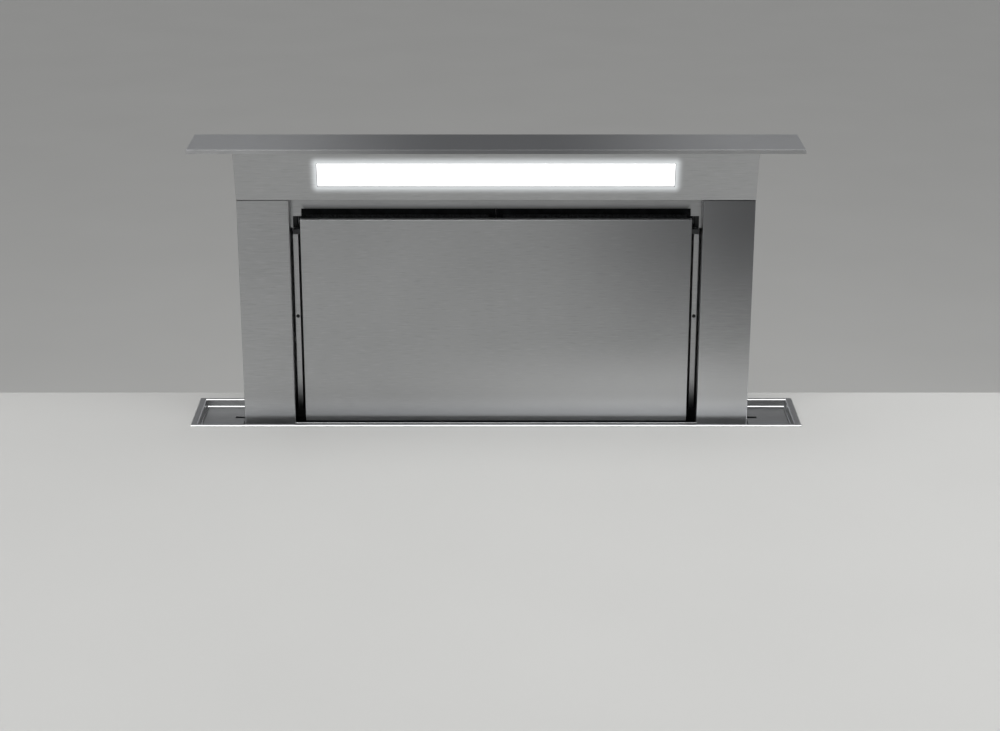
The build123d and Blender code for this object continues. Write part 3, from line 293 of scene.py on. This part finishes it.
def galvanised_steel():
    """Zinc-coated sheet: flat grey crystals with faint edges, a little duller where handled."""
    material, tree, place = finish_of("galvanised_steel_spangled")
    wander = {"Vector": place, "Scale": 1 / (6 * mm), "Detail": 1}
    wander = add(tree, "TexNoise", wander, "Color")
    wander = add(tree, "VectorMath", {0: wander, "Scale": spangle_wander}, operation="SCALE")
    spots = add(tree, "VectorMath", {0: place, 1: wander}, operation="ADD")
    cells = add(tree, "TexVoronoi", {"Vector": spots, "Scale": 1 / spangle_size}, "Color")
    tone = add(tree, "SeparateColor", {"Color": cells})
    clouds = add(tree, "TexNoise", {"Vector": place, "Scale": 1 / (120 * mm), "Detail": 3})
    dull = {"Value": clouds, "From Min": 0.35, "From Max": 0.7, "To Max": 0.3}
    crystals = {FACTOR: tone, LESS: shade("#a6a8aa"), MORE: shade("#b6b8ba")}
    crystals = add(tree, "Mix", crystals, MIXED, data_type="RGBA")
    worn = {FACTOR: add(tree, "MapRange", dull), LESS: crystals, MORE: shade("#94979a")}
    waves = add(tree, "TexNoise", {"Vector": place, "Scale": 1 / (20 * mm), "Detail": 2})
    relief = {"Height": waves, "Distance": spangle_relief, "Strength": 1}
    coat = {
        "Base Color": add(tree, "Mix", worn, MIXED, data_type="RGBA"),
        "Metallic": 0.9,
        "Roughness": add(tree, "MapRange", {"Value": tone, "To Min": 0.36, "To Max": 0.46}),
        "Normal": add(tree, "Bump", relief),
    }
    add(tree, "OutputMaterial", {"Surface": add(tree, "BsdfPrincipled", coat)})
    return material


def plain_metal(name, dark, light, roughness=0.35, grain=12 * mm):
    """Turned, drawn, extruded or cast metal: a soft sheen with faint cloudy grain."""
    material, tree, place = finish_of(name)
    clouds = add(tree, "TexNoise", {"Vector": place, "Scale": 1 / grain, "Detail": 4})
    tone = add(tree, "MapRange", {"Value": clouds, "From Min": 0.3, "From Max": 0.7})
    grey = {FACTOR: tone, LESS: shade(dark), MORE: shade(light)}
    rough = {"Value": tone, "To Min": roughness - smoother, "To Max": roughness + rougher}
    coat = {
        "Base Color": add(tree, "Mix", grey, MIXED, data_type="RGBA"),
        "Metallic": 1,
        "Roughness": add(tree, "MapRange", rough),
        "Normal": add(tree, "Bump", {"Height": clouds, "Distance": metal_relief, "Strength": 1}),
    }
    add(tree, "OutputMaterial", {"Surface": add(tree, "BsdfPrincipled", coat)})
    return material


def moulded(name, dark, light, roughness=0.45, grit=1.2 * mm):
    """Moulded or painted: a fine grain in the gloss and a slight change of tone."""
    material, tree, place = finish_of(name)
    clouds = add(tree, "TexNoise", {"Vector": place, "Scale": 1 / (50 * mm), "Detail": 3})
    tone = add(tree, "MapRange", {"Value": clouds, "From Min": 0.3, "From Max": 0.7})
    grain = add(tree, "TexNoise", {"Vector": place, "Scale": 1 / grit, "Detail": 2})
    body = {FACTOR: tone, LESS: shade(dark), MORE: shade(light)}
    rough = {"Value": grain, "To Min": roughness - smoother, "To Max": roughness + rougher}
    coat = {
        "Base Color": add(tree, "Mix", body, MIXED, data_type="RGBA"),
        "Roughness": add(tree, "MapRange", rough),
        "IOR": 1.5,
        "Normal": add(tree, "Bump", {"Height": grain, "Distance": grit_relief, "Strength": 1}),
    }
    add(tree, "OutputMaterial", {"Surface": add(tree, "BsdfPrincipled", coat)})
    return material


def lit_opal():
    """Opal acrylic lit from behind: an even white strip, a touch less bright in places."""
    material, tree, place = finish_of("opal_acrylic_lit")
    clouds = add(tree, "TexNoise", {"Vector": place, "Scale": 1 / (60 * mm), "Detail": 2})
    glow = {FACTOR: clouds, LESS: shade("#f4f6f8"), MORE: shade("#ffffff")}
    white = add(tree, "Mix", glow, MIXED, data_type="RGBA")
    coat = {
        "Base Color": white,
        "Roughness": 0.3,
        "IOR": 1.49,
        "Emission Color": white,
        "Emission Strength": 1.6,
    }
    add(tree, "OutputMaterial", {"Surface": add(tree, "BsdfPrincipled", coat)})
    return material


def matt_paint():
    """Pale wall paint for the stage: matt, with a hardly visible change of tone."""
    material, tree, place = finish_of("wall_paint_matt")
    clouds = add(tree, "TexNoise", {"Vector": place, "Scale": 1 / (400 * mm), "Detail": 2})
    paint = {FACTOR: clouds, LESS: shade("#c2c2c0"), MORE: shade("#c8c8c6")}
    coat = {"Base Color": add(tree, "Mix", paint, MIXED, data_type="RGBA"), "Roughness": 0.6}
    add(tree, "OutputMaterial", {"Surface": add(tree, "BsdfPrincipled", coat)})
    return material


# the header's sheet, with a painted glow close to the lamp
header_sheet_painted_glow = brushed_steel("lamp_glow_painted", painted_glow=painted_lamp_glow)
# behind the panel: painted shade at its foot and above its slot
shaded_sheet = brushed_steel("shaded", painted_tone=painted_shade_by_sill_and_slot)
# under the panel: painted shade on its top behind the fold
folded_sheet = brushed_steel("folded", painted_tone=painted_shade_behind_the_fold)
# the column's large sheets: painted darker reflection in one corner, painted light and glow at the
# foot
column_sheet = brushed_steel("wide", painted_glow=painted_light_off_the_rim, painted_tone=painted_reflection_and_light_on_column)
# the lid's sheet: paler than the others and darker in its middle, both a painted reflection
lid_sheet = brushed_steel("lid", "#b8b9ba", "#c4c5c6", painted_tone=painted_reflection_along_the_lid)
# bare mesh over layers painted dark as shade: bright threads that cross
mesh_threads = plain_metal("aluminium_expanded", "#a6a8aa", "#bcbec0", 0.34)
mesh_layers_in_shade = plain_metal("aluminium_mesh_layers", "#2a2b2c", "#4c4e50", 0.5, 3 * mm)
# a ground edge, mirror-bright; paler than the sheet as a painted highlight on the upward slopes it
# is given to
ground_edge_and_highlight = plain_metal("stainless_steel_ground_bright", "#c6c7c8", "#d4d5d6", 0.2)
# small bright screws
zinc_plate = plain_metal("steel_zinc_plated", "#9fa1a3", "#b9bbbd", 0.28)
stage_paint = matt_paint()

finishes = {
    # stainless sheet: an even grey sheen with a few fine level streaks
    "brushed_sheet": brushed_steel("along"),
    # the pillars: brushed level, like the sheets between them, with the same painted reflection,
    # light and glow
    "brushed_upright": column_sheet,
    # dull grey crystals
    "galvanised": galvanised_steel(),
    # matt, porous
    "gasket_foam": moulded("foam_tape_black", "#1a1a1a", "#262626", 0.85, 0.8 * mm),
    # pale, silky
    "rail_aluminium": plain_metal("aluminium_extruded", "#a9abad", "#c2c4c6", 0.32),
    # milky, half gloss
    "gear_plastic": moulded("acetal_moulded", "#dcdad2", "#e6e4dd", 0.38),
    # dry black
    "slide_plastic": moulded("polyamide_moulded_black", "#1b1c1d", "#27282a", 0.42),
    # dead black
    "stop_rubber": moulded("rubber_moulded", "#161616", "#212121", 0.7),
    # bright, tight glints
    "shaft_steel": plain_metal("steel_ground", "#a2a2a2", "#b9b9b9", 0.22),
    # anodised frame: near black, with a metal edge of light
    "filter_mesh": plain_metal("aluminium_anodised_black", "#1d1e1f", "#2a2b2d", 0.4),
    # even white light
    "opal_diffuser": lit_opal(),
    # chalky white
    "lamp_tray_white": moulded("polyester_painted_white", "#dededd", "#e9e9e8", 0.4),
    # faint green white
    "circuit_board": moulded("glass_epoxy_white", "#dfe4de", "#eceee9", 0.35),
    # hard, slightly blue
    "switch_black": moulded("phenolic_moulded", "#202124", "#2b2c30", 0.4),
    # satin paint
    "motor_case": moulded("steel_painted_black", "#1c1c1d", "#29292b", 0.32, 3 * mm),
    # grey, grainy
    "gearbox_case": plain_metal("zinc_alloy_cast", "#7d7f82", "#94969a", 0.5, 4 * mm),
    # dark, waxy
    "fan_plastic": moulded("polypropylene_moulded", "#242628", "#303235", 0.42),
    # off-white, soft gloss
    "duct_plastic": moulded("abs_moulded_white", "#d3d3d0", "#dededb", 0.38),
    # fine grained grey
    "control_plastic": moulded("abs_moulded_grey", "#3a3c3f", "#46484b", 0.45),
    # black, fine grain
    "gland_plastic": moulded("polyamide_moulded", "#1e1f20", "#2a2b2c", 0.45),
}
special_finish = {
    "header": header_sheet_painted_glow,
    "inner_frame": shaded_sheet,
    "lower_front": folded_sheet,
    "front_panel": column_sheet,
    "lid": lid_sheet,
}

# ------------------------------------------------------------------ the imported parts, edges eased
node_slot = {entry["node"]: entry["material_slot"] for entry in frame["record"]["subparts"]}

sheet_edge = 0.3 * mm
eased_edges = {
    "lid": 0.5 * mm,
    "column_back_sheet": 0.55 * mm,
    "pillar_left": 0.55 * mm,
    "pillar_right": 0.55 * mm,
    "header": 0.55 * mm,
    "outlet_collar": 0.6 * mm,
    "lift_motor": 0.8 * mm,
    "fan_motor": 1.5 * mm,
    "lift_gearbox": 1.2 * mm,
    "control_box": 0.8 * mm,
    "control_cover": 0.5 * mm,
    "guide_shoes": 0.8 * mm,
    "end_stops": 0.8 * mm,
    "limit_switches": 0.15 * mm,
    "bearing_blocks": 0.8 * mm,
    "cable_gland": 0.6 * mm,
    "rim_gasket": 0.1 * mm,
}
# sheets whose folded edges show: the axis and place of the face, and its edges' radius
folded_edges = {
    "front_panel": (1, -18.0 * mm, 1.0 * mm),
    "lid": (2, 405.0 * mm, 1.2 * mm),
    "lower_front": (2, -8.0 * mm, 1.0 * mm),
    "blower_cover": (1, -219.5 * mm, 1.4 * mm),
    "control_cover": (1, -90.5 * mm, 1.2 * mm),
}
# open boxes and pipes, whose thin rims are kept as several flat faces
thin_rims = ("control_box", "control_cover", "outlet_collar")

sharp_turn = math.radians(28)  # edges that turn more are sharp, and get eased
fold_turn = math.radians(60)
flat_turn = math.radians(0.5)
weld_gap = 0.002 * mm
level_gap = 0.01 * mm


def finished(shape, name, slot, body, material=None, stands_for=()):
    """Makes a piece of a shape: its finish, its sharp edges, and the body it rides on."""
    mesh = bpy.data.meshes.new(name)
    shape.to_mesh(mesh)
    shape.free()
    if "custom_normal" in mesh.attributes:
        mesh.attributes.remove(mesh.attributes["custom_normal"])
    mesh.materials.clear()
    mesh.materials.append(material or finishes[slot])
    mesh.shade_smooth()
    mesh.set_sharp_from_angle(angle=sharp_turn)
    piece = bpy.data.objects.new(name, mesh)
    scene.collection.objects.link(piece)
    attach(piece, body)
    if stands_for:
        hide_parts(*stands_for)
    return piece


def soften(piece, width):
    """Rounds a piece's sharp edges a little, so that they catch the light."""
    edge = piece.modifiers.new("edge", "BEVEL")
    edge.width = width
    edge.segments = 2
    edge.limit_method = "ANGLE"
    edge.angle_limit = sharp_turn
    edge.harden_normals = True


def eased(node_name):
    """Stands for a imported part: the same shape, with small rounded edges."""
    shape = bmesh.new()
    shape.from_mesh(frame["nodes"][node_name].data)
    bmesh.ops.remove_doubles(shape, verts=shape.verts, dist=weld_gap)
    bmesh.ops.dissolve_limit(
        shape, angle_limit=flat_turn, verts=shape.verts, edges=shape.edges
    )
    if node_name in thin_rims:
        bmesh.ops.connect_verts_concave(shape, faces=shape.faces)
    if node_name in folded_edges:
        axis, level, radius = folded_edges[node_name]
        fold = [
            edge
            for edge in shape.edges
            if all(abs(end.co[axis] - level) < level_gap for end in edge.verts)
            and edge.calc_face_angle(0) > fold_turn
        ]
        bmesh.ops.bevel(
            shape, geom=fold, offset=radius, offset_type="OFFSET", segments=4,
            profile=0.5, affect="EDGES", clamp_overlap=True, material=-1,
        )
    body = frame["nodes"][node_name]["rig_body"]
    name, material = "eased_" + node_name, special_finish.get(node_name)
    piece = finished(shape, name, node_slot[node_name], body, material, (node_name,))
    soften(piece, eased_edges.get(node_name, sheet_edge))
    return piece


modelled_anew = ("worktop_frame",)
pieces = {name: eased(name) for name in frame["nodes"] if name not in modelled_anew}

slope_least, slope_most = 0.5, 0.87  # how far upwards a sloping face looks, of 1


def brighten_slopes(piece):
    """Gives the faces that lean about half way upwards the bright ground edge: a real finish, but
    placed by facing as a painted highlight.
    """
    piece.data.materials.append(ground_edge_and_highlight)
    for face in piece.data.polygons:
        face.material_index = slope_least < face.normal[2] < slope_most


brighten_slopes(pieces["lower_front"])


# ------------------------------------------------------------------ worktop frame
def rectangular_ring(profile):
    """A ring round a rectangle with one profile.

    Each step of the profile is half the length, half the depth and the level.
    """
    shape = bmesh.new()
    half_x, half_y, level = profile[0]
    bmesh.ops.create_grid(shape, x_segments=1, y_segments=1, size=1)
    bmesh.ops.scale(shape, vec=(half_x, half_y, 1), verts=shape.verts)
    bmesh.ops.translate(shape, vec=(0, 0, level), verts=shape.verts)
    bmesh.ops.delete(shape, geom=shape.faces[:], context="FACES_ONLY")
    first = shape.edges[:]
    loop = first
    for next_x, next_y, next_level in profile[1:]:
        grown = bmesh.ops.extrude_edge_only(shape, edges=loop)["geom"]
        corners = [part for part in grown if isinstance(part, bmesh.types.BMVert)]
        edges = [part for part in grown if isinstance(part, bmesh.types.BMEdge)]
        loop = [edge for edge in edges if all(end in corners for end in edge.verts)]
        bmesh.ops.scale(shape, vec=(next_x / half_x, next_y / half_y, 1), verts=corners)
        bmesh.ops.translate(shape, vec=(0, 0, next_level - level), verts=corners)
        half_x, half_y, level = next_x, next_y, next_level
    bmesh.ops.bridge_loops(shape, edges=first + loop)
    bmesh.ops.recalc_face_normals(shape, faces=shape.faces)
    return shape


rim_chamfer = 1.2
rim_edge = 0.12 * mm
frame_profile = (
    # the rim's outside, its chamfer and its slope inwards
    (440, 57.5, 0.5),
    (440, 57.5, 2.0 - rim_chamfer),
    (440 - rim_chamfer, 57.5 - rim_chamfer, 2.0),
    (431, 51.5, 2.0),
    (430, 50.5, 1.0),
    # the wall down to the ledge, and the small step below it
    (430, 50.5, -8.0),
    (428.6, 49.1, -8.0),
    (427.6, 48.1, -9.0),
    (427.6, 48.1, -13.5),
    # back up behind them to the rim's underside
    (428.8, 49.3, -13.5),
    (428.8, 49.3, -9.2),
    (431.2, 51.7, -9.2),
    (431.2, 51.7, 0.5),
)
frame_steps = [(half_x * mm, half_y * mm, level * mm) for half_x, half_y, level in frame_profile]
frame_slot = node_slot["worktop_frame"]
frame_body = frame["nodes"]["worktop_frame"]["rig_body"]
rim = finished(
    rectangular_ring(frame_steps), "chamfered_frame", frame_slot, frame_body,
    stands_for=("worktop_frame",),
)
brighten_slopes(rim)
soften(rim, rim_edge)


# ------------------------------------------------------------------ grease filters
thread = 1.1 * mm
mesh_cell = (12 * mm, 7 * mm)  # real cells are 8 by 4 mm, drawn large enough to show
mesh_sink = 0.8 * mm
filter_rim = 9 * mm
mesh_drop = 9 * mm  # the rim is deeper at its top


def expanded_mesh(node_name):
    """Expanded metal in a filter's recess: lens-shaped holes between crossing threads."""
    low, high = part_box(node_name)
    wide, tall = high[0] - low[0] - 2 * filter_rim, high[2] - low[2] - 2 * filter_rim - mesh_drop
    columns, rows = round(wide / mesh_cell[0]), round(tall / mesh_cell[1])
    shape = bmesh.new()
    bmesh.ops.create_grid(shape, x_segments=columns, y_segments=rows, size=0.5)
    lattice = shape.edges[:]
    bmesh.ops.poke(shape, faces=shape.faces[:])
    inner = [edge for edge in lattice if not edge.is_boundary]
    bmesh.ops.dissolve_edges(shape, edges=inner, use_verts=False)
    upright = Matrix.Rotation(math.radians(90), 3, "X")
    bmesh.ops.rotate(shape, verts=shape.verts, matrix=upright)
    bmesh.ops.scale(shape, vec=(wide, 1, tall), verts=shape.verts)
    middle = ((low[0] + high[0]) / 2, low[1] + mesh_sink, (low[2] + high[2] - mesh_drop) / 2)
    bmesh.ops.translate(shape, vec=middle, verts=shape.verts)
    piece = finished(shape, "mesh_of_" + node_name, "filter_mesh", "column", mesh_threads)
    wires = piece.modifiers.new("threads", "WIREFRAME")
    wires.thickness = thread
    wires.use_even_offset = False
    wires.use_boundary = True
    wires.use_replace = True


def shade_the_layers(node_name):
    """Gives the bottom of a filter's recess the tone of the layers under its mesh, painted dark as
    their shade.
    """
    mesh = pieces[node_name].data
    mesh.materials.append(mesh_layers_in_shade)
    low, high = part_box(node_name)
    for face in mesh.polygons:
        aside, depth = face.center[0], face.center[1]
        inside = low[0] + filter_rim / 2 < aside < high[0] - filter_rim / 2
        sunk = low[1] < depth - 1 * mm < high[1] - 2 * mm
        if inside and sunk and abs(face.normal[1]) > 0.9:
            face.material_index = 1


for node_name in ("grease_filter_left", "grease_filter_right"):
    expanded_mesh(node_name)
    shade_the_layers(node_name)


# ------------------------------------------------------------------ panel catch housings
housing_size = (9.4 * mm, 9 * mm, 24 * mm)
housing_wall = 1.5 * mm
housing_depth = 4 * mm
housing_middle = (286.5 * mm, 8 * mm, 288.5 * mm)  # of the right one
housing_edge = 0.4 * mm


def catch_housing(side):
    """The dark magnet housing behind a panel catch, seen through the notch above it."""
    shape = bmesh.new()
    bmesh.ops.create_cube(shape, size=1)
    bmesh.ops.scale(shape, vec=housing_size, verts=shape.verts)
    mouth = [face for face in shape.faces if face.normal.y < -0.9]
    bmesh.ops.inset_region(shape, faces=mouth, thickness=housing_wall)
    sunk = list({corner for face in mouth for corner in face.verts})
    bmesh.ops.translate(shape, vec=(0, housing_depth, 0), verts=sunk)
    aside, depth, level = housing_middle
    bmesh.ops.translate(shape, vec=(side * aside, depth, level), verts=shape.verts)
    name = "catch_housing_" + ("left" if side < 0 else "right")
    soften(finished(shape, name, "slide_plastic", "column"), housing_edge)


catch_housing(-1)
catch_housing(1)


# ------------------------------------------------------------------ screws, rivets and clamp screws
def turned(outline, steps=12):
    """A small solid spun round Z from a closed outline of radius and height in millimetres."""
    shape = bmesh.new()
    points = [shape.verts.new((radius * mm, 0, height * mm)) for radius, height in outline]
    line = [shape.edges.new(pair) for pair in zip(points, points[1:])]
    bmesh.ops.spin(
        shape, geom=points + line, cent=(0, 0, 0), axis=(0, 0, 1),
        angle=math.radians(360), steps=steps, use_merge=True,
    )
    bmesh.ops.remove_doubles(shape, verts=shape.verts, dist=0.001 * mm)
    bmesh.ops.recalc_face_normals(shape, faces=shape.faces)
    mesh = bpy.data.meshes.new("turned")
    shape.to_mesh(mesh)
    shape.free()
    return mesh


def placed(shape, mesh, place, facing):
    """Adds a copy of a small solid on a point given in millimetres, its top facing one way."""
    before = set(shape.verts)
    shape.from_mesh(mesh)
    added = [corner for corner in shape.verts if corner not in before]
    turn = Vector(facing).to_track_quat("Z", "Y").to_matrix().to_4x4()
    bmesh.ops.transform(shape, matrix=Matrix.Translation(Vector(place) * mm) @ turn, verts=added)


def fixed(name, *groups, slot="galvanised", body="casing", material=zinc_plate):
    """One piece of many small fixings.

    Each group is a solid, its facing and the points it stands on.
    """
    shape = bmesh.new()
    for mesh, facing, places in groups:
        for place in places:
            placed(shape, mesh, place, facing)
    finished(shape, name, slot, body, material)


def spread(first, last, count):
    """Evenly spaced values from the first to the last."""
    return [first + (last - first) * step / (count - 1) for step in range(count)]


front, back, left, right, up = (0, -1, 0), (0, 1, 0), (-1, 0, 0), (1, 0, 0), (0, 0, 1)
pan_screw = turned(
    ((0, 1.0), (1.5, 1.0), (1.7, 2.3), (2.9, 2.1), (3.8, 1.1), (3.9, -0.1), (0, -0.1))
)
small_screw = turned(
    ((0, 0.7), (1.0, 0.7), (1.2, 1.6), (2.2, 1.4), (2.8, 0.7), (2.8, -0.1), (0, -0.1))
)
blind_rivet = turned(
    ((0, 1.1), (0.9, 1.1), (1.1, 1.4), (2.2, 1.0), (2.7, 0.3), (2.7, -0.1), (0, -0.1))
)
hex_head = turned(((0, 5.2), (4.2, 5.2), (5.6, 4.6), (5.6, 1.1), (0, 1.1)), 6)
washer = turned(((3.2, 1.2), (6.4, 1.2), (6.6, 0.9), (6.6, -0.1), (3.2, -0.1), (3.2, 1.2)), 16)
# a round foot, a thin shank, and a wide pad that presses upwards
clamp_screw = turned(
    (
        (0, -43), (4.2, -43), (5.0, -42.4), (5.0, -38.6), (3, -38.4),
        (3, -3.4), (7.5, -2.6), (9, -1.8), (9, 0), (0, 0),
    ),
    16,
)

# the places of the fixings, in millimetres
casing_face, casing_flange = 50.5, 422.5
blower_side = 180  # no rivets show behind the blower
seams = [(x, level) for x in (-casing_flange, casing_flange) for level in spread(-45, -715, 9)]
floor_seam = [(x, -738) for x in spread(-380, 380, 9)]
front_floor_seam = [(x, level) for x, level in floor_seam if abs(x) > blower_side]
fixed(
    "casing_rivets",
    (blind_rivet, front, [(x, -casing_face, level) for x, level in seams + front_floor_seam]),
    (blind_rivet, back, [(x, casing_face, level) for x, level in seams + floor_seam]),
)

cover_face, cover_top, cover_foot = -216.5, -452, -728
cover_rim = [(x, level) for x in (-154, 154) for level in spread(cover_top, cover_foot, 4)]
cover_rim += [(x, level) for x in (-52, 52) for level in (cover_top, cover_foot)]
fixed("blower_cover_screws", (pan_screw, front, [(x, cover_face, z) for x, z in cover_rim]))

control_corners = [(x, -90.5, level) for x in (-392, -238) for level in (-218, -322)]
fixed("control_cover_screws", (small_screw, front, control_corners))

collar_corners = [(166, y, level) for y in (-201, -65) for level in (-732, -597)]
fixed("collar_screws", (small_screw, right, collar_corners))

clamp_middles = (-330, 330)
screw_line, leg_face = 70, 52.5
pad_level, nut_level = -38, -79.2
leg_levels = (-38, -64)
for side, name, facing in ((-1, "front", front), (1, "back", back)):
    fixed(
        name + "_clamp_screws",
        (clamp_screw, up, [(x, side * screw_line, pad_level) for x in clamp_middles]),
        (hex_head, up, [(x, side * screw_line, nut_level) for x in clamp_middles]),
        (pan_screw, facing, [(x, side * leg_face, z) for x in clamp_middles for z in leg_levels]),
    )

bracket_face = 432
bracket_bolts = [(y, level) for y in (-20, 20) for level in (-697, -727)]
left_bolts = [(-bracket_face, y, level) for y, level in bracket_bolts]
right_bolts = [(bracket_face, y, level) for y, level in bracket_bolts]
fixed(
    "floor_bracket_bolts",
    (washer, left, left_bolts), (hex_head, left, left_bolts),
    (washer, right, right_bolts), (hex_head, right, right_bolts),
)

column_rear, sheet_top = 42.0, 312
rear_edges = [(x, level) for x in (-282, 282) for level in spread(-140, sheet_top, 6)]
rear_edges += [(x, sheet_top) for x in spread(-170, 170, 3)]
rear_screws = [(x, column_rear, level) for x, level in rear_edges]
fixed("column_back_screws", (pan_screw, back, rear_screws), slot="brushed_sheet", body="column")

strip_spots = [(x, 2.0, 148) for x in (-285.2, 285.2)]
fixed(
    "strip_rivets", (blind_rivet, front, strip_spots),
    slot="brushed_sheet", body="column", material=finishes["slide_plastic"],
)


# ------------------------------------------------------------------ plate under the rim, floor
def stage_piece(name, shape):
    """Makes a piece of the stage, which isn't part of the object."""
    mesh = bpy.data.meshes.new(name)
    shape.to_mesh(mesh)
    shape.free()
    piece = bpy.data.objects.new(name, mesh)
    scene.collection.objects.link(piece)
    mesh.materials.append(stage_paint)


plate_half_width = 0.76
plate_front, plate_back = -1.0, 0.085
plate_thick = 38 * mm
plate_corner = 0.3
cutout_half = (433 * mm, 53.5 * mm)
grid_half = 1.5  # of three squares a side, each one unit


def plate_with_cutout():
    """A pale plate under the rim, with the vent's cut-out in it and round front corners."""
    shape = bmesh.new()
    bmesh.ops.create_grid(shape, x_segments=3, y_segments=3, size=grid_half)
    middle = [face for face in shape.faces if face.calc_center_median().length < 0.1]
    columns = (-plate_half_width, -cutout_half[0], cutout_half[0], plate_half_width)
    rows = (plate_front, -cutout_half[1], cutout_half[1], plate_back)
    for corner in shape.verts:
        corner.co.x = columns[round(corner.co.x + grid_half)]
        corner.co.y = rows[round(corner.co.y + grid_half)]
    bmesh.ops.delete(shape, geom=middle, context="FACES")
    body = bmesh.ops.extrude_face_region(shape, geom=shape.faces[:])["geom"]
    lowered = [part for part in body if isinstance(part, bmesh.types.BMVert)]
    bmesh.ops.translate(shape, verts=lowered, vec=(0, 0, -plate_thick))
    outside, foremost = cutout_half[0] + mm, plate_front + mm
    front_corners = [
        edge
        for edge in shape.edges
        if all(abs(end.co.x) > outside and end.co.y < foremost for end in edge.verts)
        and abs(edge.verts[0].co.z - edge.verts[1].co.z) > mm
    ]
    bmesh.ops.bevel(
        shape, geom=front_corners, offset=plate_corner, offset_type="OFFSET", segments=24,
        profile=0.5, affect="EDGES", material=-1,
    )
    bmesh.ops.recalc_face_normals(shape, faces=shape.faces)
    return shape


stage_piece("plate_under_rim", plate_with_cutout())

floor_level = -0.791  # 1 mm under the floor brackets
floor_half = 14.0
floor_shape = bmesh.new()
bmesh.ops.create_grid(floor_shape, x_segments=1, y_segments=1, size=floor_half)
bmesh.ops.translate(floor_shape, verts=floor_shape.verts, vec=(0, 0, floor_level))
stage_piece("floor", floor_shape)


# ------------------------------------------------------------------ light
def softbox(name, place, aim, size, power):
    """A large soft lamp, turned towards the point it aims at."""
    lamp = bpy.data.lights.new(name, "AREA")
    lamp.shape = "RECTANGLE"
    lamp.size, lamp.size_y = size
    lamp.energy = power
    holder = bpy.data.objects.new(name, lamp)
    scene.collection.objects.link(holder)
    holder.location = place
    holder.rotation_euler = (Vector(aim) - Vector(place)).to_track_quat("-Z", "Y").to_euler()


softbox("top_softbox", (0, 0.2, 2.7), (0, 0, 0), (2.4, 1.4), 16)
softbox("edge_strip", (0, -0.95, 2.45), (0, 0, 0), (3.0, 0.45), 16)
softbox("left_softbox", (-2.5, -2.2, 1.5), (-0.3, -1.2, -0.2), (1.6, 1.6), 30)
softbox("right_softbox", (2.6, -0.9, 1.4), (0.2, 0, 0), (1.6, 1.6), 34)

# pale at eye level, dim higher up behind the vent, and light again overhead; in front, a pale
# card on the left and a dark one on the right, as round metal in a studio
ambient_level = 0.45
world = bpy.data.worlds.new("studio")
scene.world = world
world.use_nodes = True
sky = world.node_tree
sky.nodes.clear()
rays = add(sky, "LightPath", {}).node.outputs
seen = add(sky, "Math", {0: rays["Is Camera Ray"], 1: rays["Is Glossy Ray"]}, operation="ADD")
seen = add(sky, "Math", {0: seen, 1: rays["Is Transmission Ray"]}, operation="ADD")
way = add(sky, "SeparateXYZ", {"Vector": add(sky, "TexCoord", {}, "Generated")}).node.outputs
aside = add(sky, "Math", {0: way["X"]}, operation="ABSOLUTE")
# the two values of a direction between which a soft step goes from 0 to 1
directions = {
    "dim_level": (way["Z"], 0.12, 0.18),
    "dim_middle": (aside, 0.14, 0.03),
    "dim_above": (way["Z"], 0.24, 0.36),
    "grey_above": (way["Z"], 0.1, 0.2),
    "dark_card": (way["X"], -0.02, 0.14),
    "in_front": (way["Y"], 0.3, -0.4),
    "overhead": (way["Z"], 0.5, 0.85),
}
steps = {}
for name, (value, start, end) in directions.items():
    step = {"Value": value, "From Min": start, "From Max": end}
    steps[name] = add(sky, "MapRange", step, interpolation_type="SMOOTHSTEP")
middle = {0: steps["dim_level"], 1: steps["dim_middle"]}
middle = add(sky, "Math", middle, operation="MULTIPLY")
dim = add(sky, "Math", {0: steps["dim_above"], 1: middle}, operation="MAXIMUM")
cards = {FACTOR: steps["dark_card"], LESS: shade("#cccccc"), MORE: shade("#2c2c2e")}
cards = add(sky, "Mix", cards, MIXED, data_type="RGBA")
room = shade("#c0c1c2")
for share, tone in (
    (steps["grey_above"], shade("#8c8d90")),
    (dim, shade("#4a4b4e")),
    (steps["in_front"], cards),
    (steps["overhead"], shade("#d0d0d0")),
):
    room = add(sky, "Mix", {FACTOR: share, LESS: room, MORE: tone}, MIXED, data_type="RGBA")
ambient_light = add(sky, "Background", {"Color": shade("#ffffff"), "Strength": ambient_level})
pale_backdrop = add(sky, "Background", {"Color": room, "Strength": 1})
pick = add(sky, "MixShader", {0: seen, 1: ambient_light, 2: pale_backdrop})
add(sky, "OutputWorld", {"Surface": pick})

scene.view_settings.view_transform = "Standard"
